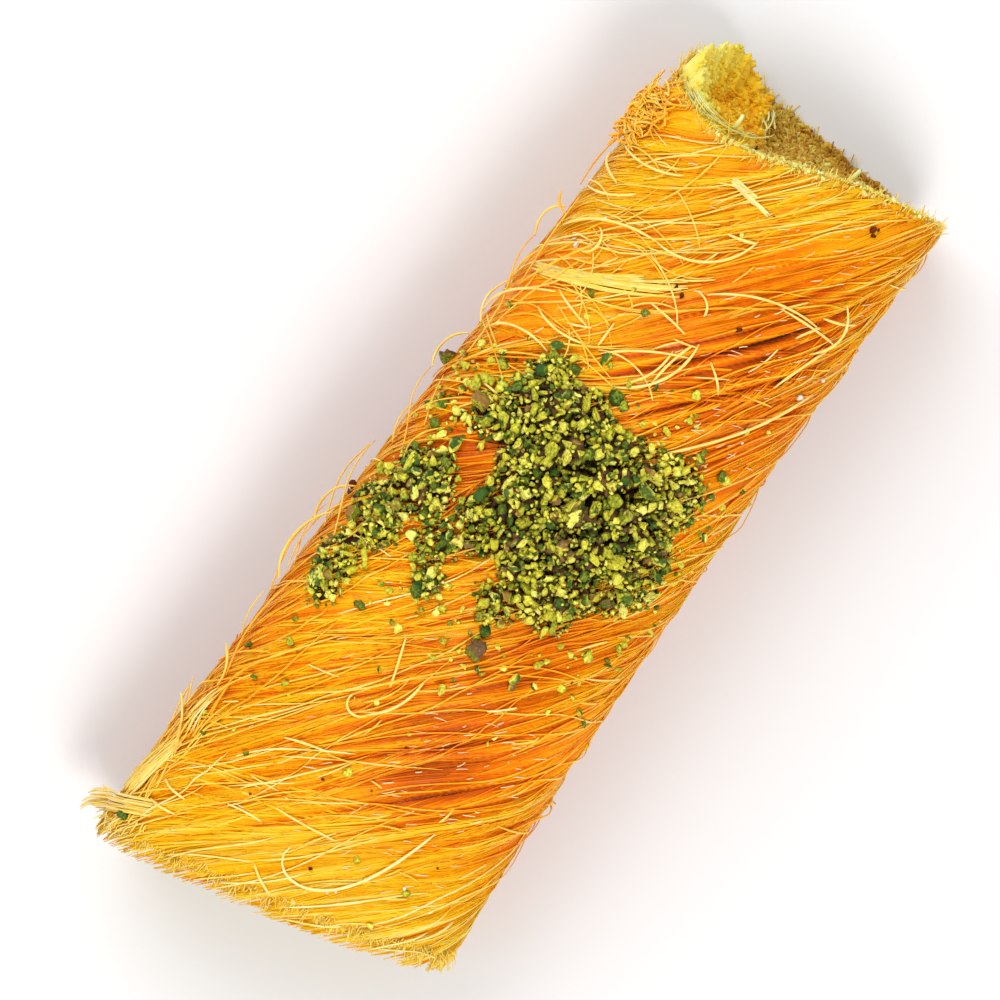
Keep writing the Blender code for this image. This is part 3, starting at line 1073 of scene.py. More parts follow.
    def locks(self, layer: Layer) -> Piece:
        """One layer of locks: bundles that are thick in the middle and dive under at their ends.

        A strand of a lock starts aside from the lock's own start, up to its half width, and lies
        lower by the crown's height times the square of that share.

        Args:
            layer: Which layer.

        Returns:
            The piece.
        """
        plan = self.layers[layer]
        draw = seeded(200 + layer.value)
        locks, each = plan.locks, plan.strands
        count = locks * each
        whose = np.repeat(np.arange(locks), each)
        centre = (np.arange(locks) * self.golden + draw.uniform(0, 1)) % 1.0
        out = (draw.uniform(-1, 1, count) + draw.uniform(-1, 1, count)) * 0.75
        aside = out * draw.uniform(*plan.half_width, locks)[whose]
        share = draw.uniform(-0.5, 0.92, locks)[whose]
        length = draw.uniform(*self.lock_length, locks)[whose] * draw.uniform(0.8, 1.1, count)
        lay = Lay.of(
            count,
            turn=centre[whose] + self.aslant * aside / self.skin.girth,
            share=share - self.aslant * aside / self.skin.length + draw.normal(0, 0.03, count),
            length=length * MM,
            heading=draw.normal(0, plan.wander, locks)[whose] + draw.normal(0, 0.9, count),
            bend=draw.normal(0, 1.6 * plan.wander, locks)[whose] + draw.normal(0, 1.6, count),
            lift=draw.uniform(*plan.lift, locks)[whose] + self.crown * (1 - out**2)
            + draw.normal(0, 0.035, count) * MM,
            rise=draw.uniform(0, 0.08, count) * MM,
            sway=draw.uniform(0, 3.5, count),
            wave=draw.uniform(9, 26, count) * MM,
            phase=draw.uniform(0, 6.3, count),
            foot_fray=draw.uniform(0.0, 0.021, count),
            head_fray=draw.uniform(-0.010, 0.003, count),
            tip=draw.uniform(-0.5, -0.1, count) * MM,
            back=draw.uniform(-0.5, -0.1, count) * MM,
        )
        radius = self.radius * draw.uniform(0.78, 1.12, count) * draw.uniform(1.0, plan.thick, locks)[whose]
        own = draw.normal(0, 0.05, locks)[whose] + draw.normal(plan.lighter, 0.045, count)
        return self.lay_out(f"strands_{layer.name.lower()}", lay, layer.value, radius, own)

    def loose(self) -> Piece:
        """Single pale strands over the locks, which cross them and bow up a little.

        Returns:
            The piece.
        """
        draw = seeded(307)
        count = self.singles
        lay = Lay.of(
            count,
            turn=draw.normal(0.0, 0.2, count),
            share=draw.uniform(-0.1, 0.97, count),
            length=draw.gamma(3.0, 7.0, count).clip(5, 55) * MM,
            heading=draw.normal(0, 6, count),
            bend=draw.normal(0, 16, count),
            lift=draw.uniform(-0.1, 0.15, count) * MM,
            rise=draw.gamma(1.5, 0.12, count).clip(0, 0.6) * MM,
            sway=draw.uniform(1, 8, count),
            wave=draw.uniform(8, 24, count) * MM,
            phase=draw.uniform(0, 6.3, count),
            foot_fray=draw.uniform(0.0, 0.016, count),
            head_fray=draw.uniform(-0.004, 0.008, count),
            tip=draw.uniform(-0.4, 0.3, count) * MM,
            back=draw.uniform(-0.4, 0.3, count) * MM,
        )
        radius = self.radius * draw.uniform(0.75, 1.15, count)
        # The singles are paler than the locks, which is partly painted highlight.
        return self.lay_out("strands_loose", lay, 4, radius, draw.normal(-0.18, 0.08, count), 4)

    def dress(self, finish: Material) -> None:
        """Makes every piece of the wrapper's skin, the bed with its own finish.

        Args:
            finish: Finish of the two lower layers.
        """
        glazed = DoughFinish("glazed_dough", gloss=0.4, coat_blur=0.06).make()
        settle(Part.DOUGH, BedFinish().make(), self.bed())
        settle(Part.DOUGH, finish, self.locks(Layer.LOWER), self.locks(Layer.MIDDLE))
        settle(Part.DOUGH, glazed, self.locks(Layer.UPPER))
        settle(Part.DOUGH, LooseFinish("single_dough").make(), self.loose())


# ---- strands that stand off


@dataclass(frozen=True)
class Stroke:
    """A strand laid by itself, seen from above, in millimetres and degrees.

    It starts at (x, y) and runs at a heading from +X towards -Y, which turns by bend on the way:
    evenly, or as 1 - exp(-w / ease) if ease is set. It stands off the skin by rise * sin(pi w) + back
    * (1 - w)^2 + tip * w^2.
    """

    x: float
    y: float
    heading: float
    bend: float
    length: float
    rise: float = 0.5
    tip: float = 0.0
    back: float = 0.0
    ease: float = 0.0
    bake: float = 0.08
    radius: float = 0.14


@dataclass
class Flyaways:
    """Strands that have come loose: hooks, loops off the shoulder, curls and frayed corners.

    White streaks along the strands, which paint glints, are laid the same way.
    """

    skin: Skin
    steps: int = 22
    edge_share: float = 0.95
    overhang: float = 2.5 * MM
    hang: float = 8.0 * MM
    fall: float = 1.7
    thicker: float = 1.15
    strokes: tuple[Stroke, ...] = (
        Stroke(-46.8, 0.4, 206, -191, 23, 0.5, ease=0.22, bake=0.0, radius=0.16),
        Stroke(-50.9, 2.5, 122, -9, 4.0, radius=0.155),
        Stroke(-44.1, 4.4, 84, -3, 7.7, radius=0.12),
        Stroke(-19.1, 4.2, 154, 13, 6.1, tip=0.4),
        Stroke(-28.0, 5.1, 198, -169, 4.4),
        Stroke(-29.1, 2.4, 49, -53, 8.0, radius=0.16),
        Stroke(-37.0, 8.5, 64, 15, 5.5),
        Stroke(-32.3, 19.4, 152, 32, 5.0, 0.0, back=1.2, bake=0.15),
        Stroke(-40.1, 20.2, 148, 27, 7.0, 0.0, back=1.3, bake=0.12),
        Stroke(-55.0, 22.0, 85, -28, 6.1, 0.0, back=0.8, bake=0.1),
        Stroke(-57.6, 21.4, 40, 11, 7.0, 0.0, back=0.6, bake=0.1, radius=0.18),
        Stroke(-52.2, 16.7, 90, -11, 3.4),
        Stroke(-49.3, 16.7, 104, -11, 3.3),
        Stroke(33.5, 20.6, 173, -74, 3.2, 0.3, back=1.1, bake=0.3),
        Stroke(32.1, 19.4, 246, -87, 5.8, 0.9, bake=0.12),
        Stroke(42.0, 18.0, 115, -61, 8.2, 0.9),
        Stroke(30.0, 18.1, 39, 51, 11.3, 0.8, radius=0.155),
        Stroke(34.7, 8.2, 97, -87, 12.8, 0.6, radius=0.155),
        Stroke(32.2, 14.5, 91, 186, 5.5, 0.8),
        Stroke(40.3, 2.2, 78, -12, 3.6, radius=0.17),
        Stroke(37.1, -8.0, 83, 6, 7.7, 0.6),
        Stroke(42.0, -13.2, 138, 76, 7.6, 0.9, back=0.8),
        Stroke(41.0, -15.5, 228, 23, 3.5, 0.6, back=0.6),
        Stroke(33.2, -0.1, 46, 48, 14.2, 0.5),
        Stroke(32.9, 0.9, 84, 96, 3.3, 0.4),
        Stroke(20.6, 14.7, 114, -44, 7.4, 0.7),
        Stroke(15.1, 18.1, 37, 78, 8.3, 0.9),
        Stroke(13.4, 19.6, 241, -102, 6.4, 0.9, tip=0.5, bake=0.12),
        Stroke(18.3, 2.1, 60, -67, 11.5, 0.7, radius=0.16),
        Stroke(20.6, -1.1, 356, 27, 7.1, 0.5, radius=0.16),
        Stroke(19.2, 1.6, 46, -51, 7.1, 0.6),
        Stroke(27.2, -5.0, 124, 12, 3.9, 0.4),
        Stroke(29.3, -12.7, 4, 29, 7.9, 0.6),
        Stroke(28.6, 4.5, 89, 15, 5.3, 0.5),
        Stroke(23.6, 13.9, 107, 0, 5.3, 0.6),
        Stroke(24.2, 6.5, 168, 23, 3.2, 0.4),
        Stroke(15.2, -6.7, 41, -21, 19.0, 0.7, tip=0.6, radius=0.15),
        Stroke(21.2, 19.6, 188, -27, 6.0, 0.9),
        Stroke(35.6, 18.6, 102, -70, 6.0, 0.8),
        Stroke(40.3, 18.8, 146, -26, 4.0, 0.7),
        Stroke(-8.8, 19.3, 238, -85, 7.5, 0.9, bake=0.14),
        Stroke(-12.9, 19.8, 220, -77, 10.7, 0.9, bake=0.14),
        Stroke(-13.0, 15.3, 86, 10, 2.1),
        Stroke(9.7, 14.5, 79, 30, 2.5),
        Stroke(35.4, -11.3, 6, 48, 3.3),
        Stroke(16.5, 20.0, 19, 45, 9.1, 0.8),
        Stroke(20.4, 5.7, 43, 27, 10.5, 0.5),
    )

    def lay_down(self, tubes: Tubes, table: Array) -> None:
        """Adds strokes.

        A place beyond the log's edge, seen from above, starts from the skin at the edge. It is drawn
        in by a hyperbolic tangent so that it stands out by no more than the overhang, and hangs down
        the further it is out, each strand in its own measure, by no more than hang.

        Args:
            tubes: Where they are added.
            table: One row a stroke, in the order of Stroke's fields.
        """
        x, y, heading, bend, length, rise, tip, back, ease, bake, radius = table.T[..., None]
        way = np.linspace(0, 1, self.steps)[None, :]
        turned = np.where(ease > 0, 1 - np.exp(-way / np.maximum(ease, 0.01)), way)
        angle = np.radians(heading + bend * turned)
        angle = (angle[:, 1:] + angle[:, :-1]) / 2
        step = length * MM / (self.steps - 1)
        start = np.zeros((len(table), 1))
        x = x * MM + np.concatenate([start, np.cumsum(step * np.cos(angle), axis=1)], axis=1)
        y = y * MM - np.concatenate([start, np.cumsum(step * np.sin(angle), axis=1)], axis=1)
        limit = self.edge_share * self.skin.along(0.5 + x / self.skin.length, self.skin.widths) / 2
        held = np.clip(y, -limit, limit)
        turn, share = self.skin.over(x, held)
        lift = 0.14 + rise * np.sin(math.pi * way) + back * (1 - way) ** 2 + tip * way**2
        paths = self.skin.point(turn, share, 1.0, lift * MM)
        paths[..., 1] += self.overhang * np.tanh((y - held) / self.overhang)
        own = self.fall * (0.5 + (7.3 * length) % 1.0)
        paths[..., 2] -= self.hang * np.tanh(own * np.abs(y - held) / self.hang)
        knots = 1 + 0.12 * np.sin(1.9 * length * way + 40 * bake)
        slim = knots * tapered(way, 0.45)
        tubes.add(paths, self.skin.outward(turn, share), radius * MM * slim, bake)

    def named(self) -> Piece:
        """The strands that are placed one by one.

        Returns:
            The piece.
        """
        tubes = Tubes(sides=5)
        table = np.array([astuple(stroke) for stroke in self.strokes])
        table[:, -1] *= self.thicker
        self.lay_down(tubes, table)
        return tubes.piece("strands_flyaway")

    def table(self, count: int, draw: np.random.Generator, **given: Pair) -> Array:
        """Strokes drawn evenly between two values for each field, or with the field's own value.

        Args:
            count: How many strokes.
            draw: Random draws.
            given: Least and most of a field.

        Returns:
            One row a stroke.
        """
        columns = []
        for name, kind in Stroke.__dataclass_fields__.items():
            low, high = given.get(name, (kind.default, kind.default))
            columns.append(draw.uniform(low, high, count))
        return np.stack(columns, axis=1)

    def tufts(self) -> Piece:
        """Frayed corners and curls.

        A pale bundle lies along the foot's square shoulder, spikes stand out at that corner, the
        head's square corner is a curly orange tuft, and short curls lie between heap and head.

        Returns:
            The piece.
        """
        draw = seeded(401)
        tubes = Tubes(sides=4)
        plans = (
            (46, dict(x=(-57, -42), y=(16.5, 20.0), heading=(-25, 25), bend=(-30, 30), length=(2.5, 8),
                      rise=(-0.1, 0.3), back=(-0.2, 0.5), tip=(-0.3, 0.3), bake=(0.1, 0.3),
                      radius=(0.08, 0.13))),
            (40, dict(x=(-54.4, -52.6), y=(18.4, 19.9), heading=(4, 8), bend=(-3, 3), length=(2.5, 9.5),
                      rise=(0, 0.5), back=(0, 0.5), bake=(0.06, 0.18), radius=(0.1, 0.18))),
            (34, dict(x=(-54.0, -52.0), y=(15.4, 16.6), heading=(236, 240), bend=(-3, 3), length=(2.5, 10.5),
                      rise=(0.1, 0.6), tip=(0.2, 1.0), bake=(0.06, 0.18), radius=(0.1, 0.17))),
            (9, dict(x=(-38.3, -37.4), y=(17.6, 18.4), heading=(172, 188), bend=(-10, 10), length=(4.2, 6.5),
                     rise=(0.1, 0.4), bake=(0.0, 0.12), radius=(0.09, 0.14))),
            (36, dict(x=(-57.5, -54.0), y=(15.0, 20.4), heading=(150, 230), bend=(-30, 30),
                      length=(0.8, 2.6), rise=(0, 0.2), tip=(0, 0.3), bake=(0.02, 0.16),
                      radius=(0.06, 0.11))),
            (260, dict(x=(43.0, 49.6), y=(16.6, 20.6), heading=(-180, 180), bend=(-120, 120),
                       length=(0.8, 3.2), rise=(0, 0.7), tip=(0, 0.8), bake=(0.12, 0.42),
                       radius=(0.09, 0.17))),
            (26, dict(x=(23.7, 24.9), y=(17.1, 18.4), heading=(71, 77), bend=(-26, -17), length=(11, 19),
                      rise=(0.0, 0.2), bake=(0.08, 0.2), radius=(0.14, 0.21))),
            (11, dict(x=(45.4, 46.1), y=(5.0, 5.8), heading=(97, 102), bend=(-4, 4), length=(3.0, 6),
                      rise=(0.0, 0.2), bake=(0.0, 0.1), radius=(0.15, 0.22))),
            (44, dict(x=(12, 42), y=(6, 19.5), heading=(20, 120), bend=(-90, 90), length=(3, 11),
                      rise=(0.0, 0.6), tip=(-0.3, 0.2), bake=(0.08, 0.28), radius=(0.08, 0.13))),
            (28, dict(x=(-44, 44), y=(16.5, 20.2), heading=(-25, 40), bend=(-60, 60), length=(5, 14),
                      rise=(0.2, 0.8), tip=(-0.3, 0.1), bake=(0.15, 0.35), radius=(0.09, 0.13))),
            (70, dict(x=(-50, 48), y=(-18, 18), heading=(20, 85), bend=(-30, 30), length=(1.5, 5),
                      rise=(0.0, 0.3), bake=(0.0, 0.25), radius=(0.1, 0.15))),
        )
        for count, plan in plans:
            self.lay_down(tubes, self.table(count, draw, **plan))
        return tubes.piece("strands_tufts")

    def streaks(self) -> Piece:
        """Short white streaks along the strands, most of them on the round side: painted glints.

        Returns:
            The piece.
        """
        draw = seeded(421)
        tubes = Tubes(sides=4)
        sizes = dict(length=(0.4, 1.7), rise=(0, 0.1), bend=(-25, 25), radius=(0.03, 0.07))
        plans = ((90, (-46, -18), (-17, -2)), (90, (12, 50), (-16, -1)), (50, (-50, 46), (0, 16)))
        for count, x, y in plans:
            self.lay_down(tubes, self.table(count, draw, x=x, y=y, heading=(30, 66), **sizes))
        return tubes.piece("painted_glint_streaks")

    def dress(self, finish: Material) -> None:
        """Makes the loose strands in their finish, and the painted glints."""
        glint_finish = GlintFinish("painted_glints", (1.0, 0.90, 0.58), (1.0, 0.78, 0.34), 0.0)
        settle(Part.DOUGH, finish, self.named(), self.tufts())
        settle(Part.DOUGH, glint_finish.make(), self.streaks())


# ---- the knife cuts


@dataclass
class CutEnds:
    """What both knife cuts show: strand ends all over, a frayed rim, and the head's soaked fold."""

    dough: Dough
    wall_tips: int = 1500
    filling_tips: int = 800
    wall_grains: int = 1900
    filling_grains: int = 1500
    rim_grains: int = 2000
    fringe_tips: int = 2600
    grain: Pair = (0.22 * MM, 0.5 * MM)
    fold_soak: float = 0.5
    low_soak: Triple = (0.35, 6 * MM, 8 * MM)
    # The foot's cut is made paler, as painted light on its shaded edge.
    foot_paler: float = -0.24
    stubs: tuple = (
        ((50.9, 8.9), (2.0, -0.1, 0.7), 0.30, -0.4),
        ((54.0, -5.5), (1.9, -0.5, 0.7), 0.34, -0.3),
    )
    amber: tuple = (
        (0.00, (0.84, 0.80, 0.20)),
        (0.25, (0.88, 0.68, 0.06)),
        (0.50, (0.86, 0.50, 0.012)),
        (0.75, (0.80, 0.34, 0.004)),
        (1.00, (0.56, 0.18, 0.002)),
    )
    wraps: int = 200
    fold_rows: int = 40
    fold_columns: int = 150
    fold_grains: int = 800
    flaps: tuple = ((-0.6, 1.6), (-2.45, 2.4))
    flap_width: float = 0.22
    lip: float = 4.0
    most_swell: float = 6.6
    fold_inset: float = 0.7 * MM
    fold_thick: float = 1.2 * MM
    farthest: float = 61.6 * MM
    filling_rows: int = 30
    filling_columns: int = 128

    def facing(self, head: bool) -> Array:
        """Direction that a cut faces.

        Args:
            head: True for the head's cut, False for the foot's.

        Returns:
            A unit vector.
        """
        skin = self.dough.skin
        lean = sum(skin.head_leans) / 2 / skin.heights[2]
        foot = (-1.0, -skin.foot_skew, -skin.foot_lean)
        return unit(np.array((1.0, skin.head_skew, lean) if head else foot))

    def face(self, turn: Array, scale: Array, head: bool, inset: float) -> Array:
        """Points on a cut's packed face or behind it, and in by the fold's hollow at the head.

        Args:
            turn: Share of the girth passed.
            scale: Size against the outer skin.
            head: True for the head's cut, False for the foot's.
            inset: How far behind the face, in metres.

        Returns:
            The points.
        """
        points = self.dough.skin.point(turn, np.full(np.shape(turn), float(head)), scale)
        hollow = self.dough.pocket(points) * float(head)
        points[..., 0] -= (self.dough.sunk(points[..., 2]) + inset + hollow) * (1 if head else -1)
        return points

    def soaked(self, points: Array, head: bool) -> Array:
        """How much syrup there is at points of a cut, most in the head's fold; the foot's cut is made paler
        instead, as painted light.

        Args:
            points: Points of one cut.
            head: Whether that is the head's.

        Returns:
            Added browning of each.
        """
        y, z = points[:, 1], points[:, 2]
        fold = self.fold_soak * self.dough.pocket(points) / self.dough.pocket_depth
        much, height, wide = self.low_soak
        low = much * np.exp(-((z / height) ** 2)) * np.clip((height - y) / wide, 0, 1)
        return fold + low if head else np.full_like(y, self.foot_paler)

    def tips(self, name: str, count: int, ring: Pair, heads: tuple[bool, ...],
             seed: int, tone: Pair) -> Piece:
        """Strand ends all over a ring of one cut or both.

        They stand evenly by area: scale is the root of an even draw between the squares of its
        bounds. Each leans out of the cut, along the winding and at random.

        Args:
            name: Name of the piece.
            count: How many on a cut.
            ring: Inner and outer bound, against the outer skin.
            heads: True for the head's cut, False for the foot's.
            seed: Seed of the draws.
            tone: Mean and spread of their browning.

        Returns:
            The piece.
        """
        tubes = Tubes()
        for head in heads:
            draw = seeded(seed + head)
            turn = draw.uniform(0, 1, count)
            scale = np.sqrt(draw.uniform(ring[0] ** 2, ring[1] ** 2, count))
            roots = self.face(turn, scale, head, 0.15 * MM)
            roots[:, 2] = np.maximum(roots[:, 2], 0.7 * MM)
            along = unit(self.face(turn + 0.01, scale, head, 0.0) - self.face(turn, scale, head, 0.0))
            aims = self.facing(head) + along * draw.uniform(0.2, 1.3, (count, 1))
            aims = unit(aims + draw.normal(0, 0.35, (count, 3))) * draw.uniform(0.5, 1.15, (count, 1)) * MM
            curls = draw.normal(0, 0.25, (count, 3)) * MM
            radius = draw.uniform(0.09, 0.16, count) * MM
            tubes.add_rods(roots, aims, curls, radius, draw.normal(*tone, count) + self.soaked(roots, head))
        return tubes.piece(name)

    def grains(self, name: str, count: int, ring: Pair, tone: Pair, seed: int) -> Piece:
        """Grains of broken strands all over a ring of both cuts.

        Args:
            name: Name of the piece.
            count: How many on each cut.
            ring: Inner and outer bound, against the outer skin.
            tone: Mean and spread of their browning.
            seed: Seed of the draws.

        Returns:
            The piece.
        """
        draw = seeded(seed)
        spots, tones = [], []
        for head in (True, False):
            scale = np.sqrt(draw.uniform(ring[0] ** 2, ring[1] ** 2, count))
            middles = self.face(draw.uniform(0, 1, count), scale, head, -0.1 * MM)
            spots.append(middles + self.facing(head) * draw.uniform(-0.3, 0.3, (count, 1)) * MM)
            tones.append(draw.normal(*tone, count) + self.soaked(middles, head))
        middles, tones = np.concatenate(spots), np.concatenate(tones)
        middles[:, 2] = np.maximum(middles[:, 2], self.grain[1] * 1.4)
        sizes = draw.uniform(*self.grain, len(middles))
        return self.bits(name, middles, sizes, seed + 1, tones, 1.5)

    def bits(self, name: str, middles: Array, sizes: Array, seed: int, tones: Array,
             longest: float = 1.6) -> Piece:
        """Small dry grains at their places, stretched up to so much, with a browning each."""
        return Crumbs(0, 3, (0.7, 1.25), (0.6, longest)).piece(name, middles, sizes, seed, bake=tones)

    def filling(self) -> Piece:
        """The filling itself: rows out over the head's cut, back along the bore, in over the foot's.

        Returns:
            The piece.
        """
        skin = self.dough.skin
        out = np.linspace(0, skin.bore_share + 0.01, self.filling_rows)
        share = np.repeat([1.0, 0.0], self.filling_rows)[:, None]
        scale = np.concatenate([out, out[::-1]])[:, None]
        turn = (np.arange(self.filling_columns) / self.filling_columns)[None, :]
        points = skin.point(turn, np.broadcast_to(share, (len(share), turn.shape[1])), scale)
        draw = seeded(723)
        rough = draw.uniform(-0.3, 0.3, points.shape[:2]) * MM
        hollow = self.dough.pocket(points) * share
        points[..., 0] += (0.5 - share) * 2 * (self.dough.cut_inset + hollow) + rough
        for end in (0, -1):
            points[end] = points[end].mean(axis=0)
        faces = ring_faces(len(share), self.filling_columns, False)
        made = new_piece("filling_core", points.reshape(-1, 3), [faces], bake=np.full(points.shape[:2], 0.5))
        return close_poles(made)

    def rim(self) -> Piece:
        """Pale grains along the upper edge of the head's cut.

        Returns:
            The piece.
        """
        draw = seeded(731)
        count = self.rim_grains
        turn, scale = draw.uniform(-0.27, 0.24, count), draw.uniform(0.87, 0.985, count)
        middles = self.face(turn, scale, True, -0.6 * MM)
        middles = middles + draw.uniform(-0.3, 0.45, (count, 1)) * MM * self.facing(True)
        sizes = draw.uniform(0.15, 0.38, count) * MM
        tone = draw.normal(0.17, 0.15, count)
        return self.bits("cut_rim", middles, sizes, 733, tone)

    def stub_ends(self) -> Piece:
        """Two thick pale strand ends that stand out of the head's cut.

        Returns:
            The piece.
        """
        spots, aims, radius, bake = (np.array(column) for column in zip(*self.stubs))
        x, y = spots.T * MM
        skin = self.dough.skin
        low, high = (skin.cuts(y, np.full(2, z))[1] for z in (0.0, skin.heights[2]))
        roots = np.stack([x, y, skin.heights[2] * (low - x) / (low - high)], axis=-1)
        aims = aims * MM
        tubes = Tubes(sides=6)
        tubes.add_rods(roots, aims, 0.1 * aims[:, [1, 0, 2]], radius * MM, bake)
        return tubes.piece("cut_stubs")

    def fringe(self) -> Piece:
        """Fine fuzz all round the foot's edge, and sparser round the head's.

        Returns:
            The piece.
        """
        draw = seeded(741)
        count = self.fringe_tips
        head = (draw.uniform(0, 1, count) < 0.2)[:, None]
        turn = draw.uniform(0, 1, count)
        share = np.where(head[:, 0], draw.uniform(0.985, 1.0, count), draw.uniform(0.0, 0.012, count))
        roots = self.dough.skin.point(turn, share, draw.uniform(0.975, 1.003, count))
        out = np.where(head, self.facing(True), self.facing(False))
        aims = unit(out + 0.2 * self.dough.skin.outward(turn, share) + draw.normal(0, 0.35, (count, 3)))
        long = draw.gamma(4.0, 0.26, (count, 1)).clip(0.3, 2.4) * MM
        # The fuzz is pale: partly painted light, for the glow of light through its thin strands.
        tubes = Tubes()
        tubes.add_rods(roots, aims * long, draw.normal(0, 0.2, (count, 3)) * MM,
                       draw.uniform(0.05, 0.1, count) * MM, draw.normal(0.03, 0.05, count))
        return tubes.piece("cut_fringe")

    def round_fold(self, reach: Array, angle: Array) -> tuple[Array, Array]:
        """y and z at a reach, in spreads of the hollow, and an angle round its middle."""
        (y, z), (wide, high) = self.dough.pocket_place, self.dough.pocket_spread
        return y + reach * wide * np.cos(angle), z + reach * high * np.sin(angle)

    def pool(self) -> list[Piece]:
        """The soaked fold in the head's cut: a lumpy cushion over the hollow, closed by a back, and grains.

        It is paler at its rim, most of all on the +Y side, and amber in the middle. Its rim stands out
        on the +Y side and low down, ragged, with two flaps.

        Returns:
            The cushion and its grains.
        """
        rows, columns = self.fold_rows, self.fold_columns
        out = np.concatenate([np.linspace(0, 1, rows), np.linspace(1, 0, rows)])[:, None]
        front = (np.arange(2 * rows) < rows)[:, None]
        angle = (np.arange(columns) * TURN / columns)[None, :]
        reach = 1.15 + 0.09 * np.sin(3 * angle + 1.0) + 0.07 * np.sin(5 * angle) + 0.06 * np.sin(11 * angle)
        y, z = self.round_fold(out * reach, angle)
        lumps = 0.35 * ripples(y / (9 * MM), z / (9 * MM), 761, 4, 9)
        lumps = lumps + 0.22 * ripples(y / (9 * MM), z / (9 * MM), 763, 12, 12)
        ragged = 1 + 0.15 * np.sin(5 * angle + 1.0) + 0.08 * np.sin(13 * angle) + 0.06 * np.sin(29 * angle)
        lip = self.lip * np.clip(np.cos(angle + 0.7) + 0.15, 0, 1) ** 0.7 * (1.2 * out) ** 3 * ragged
        for place, high in self.flaps:
            away = (angle - place + math.pi) % TURN - math.pi
            lip = lip + high * np.exp(-((away / self.flap_width) ** 2)) * (1.2 * out) ** 3
        swell = np.minimum(0.5 + lumps + lip, self.most_swell) * np.clip(6 * (1 - out), 0, 1) * MM
        x = self.dough.skin.cuts(y, z)[1] - self.fold_inset
        x = np.where(front, np.minimum(x + swell, self.farthest), x - self.fold_thick)
        points = np.stack(np.broadcast_arrays(x, y, z), axis=-1)
        for end in (0, -1):
            points[end] = points[end].mean(axis=0)
        pale = 0.65 * np.clip(out * (1 + 0.5 * np.cos(angle)) - 0.4, 0, 1) ** 0.9
        # Paler where the lumps stand out and more amber in their hollows: painted light on the ridges and
        # painted shade in the hollows.
        bake = np.broadcast_to(0.66 - pale - 0.3 * lumps, points.shape[:2])
        faces = ring_faces(2 * rows, columns, False)
        made = new_piece("soaked_fold", points.reshape(-1, 3), [faces], bake=bake)
        draw = seeded(765)
        row = (np.sqrt(draw.uniform(0.0, 1.0, self.fold_grains)) * (rows - 2)).astype(int)
        column = draw.integers(0, columns, self.fold_grains)
        sizes = draw.uniform(0.16, 0.42, self.fold_grains) * MM
        tones = bake[row, column] + draw.normal(0, 0.12, self.fold_grains)
        return [close_poles(made), self.bits("fold_grains", points[row, column], sizes, 767, tones)]

    def wrap(self) -> Piece:
        """Fine pale strands wound round the fold, most on its +Y side, which stand out at its low edge.

        Returns:
            The piece.
        """
        draw = seeded(751)
        count = self.wraps
        way = np.linspace(0, 1, 14)[None, :]
        start = np.where(draw.uniform(0, 1, (count, 1)) < 0.7, draw.normal(0.1, 0.55, (count, 1)),
                         draw.uniform(-3.1, 3.1, (count, 1)))
        angle = start + draw.uniform(0.15, 0.9, (count, 1)) * way * draw.choice((-1, 1), (count, 1))
        reach = draw.uniform(0.85, 1.2, (count, 1)) + draw.normal(0, 0.12, (count, 1)) * way
        y, z = self.round_fold(reach, angle)
        flap = draw.uniform(0, 2.2, (count, 1)) * np.maximum(0, -np.sin(angle))
        out = draw.uniform(-0.5, 0.4, (count, 1)) + flap
        x = self.dough.skin.cuts(y, z)[1] + out * MM
        paths = np.stack([x, y, z], axis=-1)
        normals = np.broadcast_to(self.facing(True), paths.shape)
        radius = draw.uniform(0.07, 0.15, (count, 1)) * tapered(way, 0.5) * MM
        tubes = Tubes(sides=4)
        tubes.add(paths, normals, radius, draw.normal(0.14, 0.14, (count, 1)))
        return tubes.piece("cut_fold_wrap")

    def dress(self, dough: Material) -> None:
        """Makes every piece of the cuts with its finish.

        Args:
            dough: Finish of the foot's strand ends and of the fringe.
        """
        pale, inside = CutFinish().make(), CutFinish("soft_filling").make()
        amber = CutFinish("soaked_fold", self.amber, 0.35, 0.12).make()
        bore, tone = self.dough.skin.bore_share, (0.34, 0.13)
        wall, core = (bore, 0.975), (0.0, bore)
        settle(Part.DOUGH, pale, self.tips("head_wall_tips", self.wall_tips, wall, (True,), 701, tone),
               self.grains("cut_wall_grains", self.wall_grains, wall, (0.36, 0.14), 705),
               self.rim(), self.stub_ends(), self.wrap())
        settle(Part.DOUGH, dough, self.tips("foot_wall_tips", self.wall_tips, wall, (False,), 701, tone),
               self.fringe())
        settle(Part.FILLING, inside, self.filling(),
               self.grains("cut_filling_grains", self.filling_grains, core, (0.5, 0.16), 715),
               self.tips("cut_filling_tips", self.filling_tips, core, (True, False), 711, (0.42, 0.15)))
        settle(Part.FILLING, amber, *self.pool())


def close_poles(piece: Piece) -> Piece:
    """Joins the vertices that lie on one another at a ring grid's poles, and turns faces outwards.

    Args:
        piece: A piece made of rings.

    Returns:
        The same piece.
    """
    work = bmesh.new()
    work.from_mesh(piece.data)
    bmesh.ops.remove_doubles(work, verts=work.verts, dist=0.000001)
    bmesh.ops.recalc_face_normals(work, faces=work.faces)
    work.to_mesh(piece.data)
    work.free()
    return piece


# ---- the pistachio


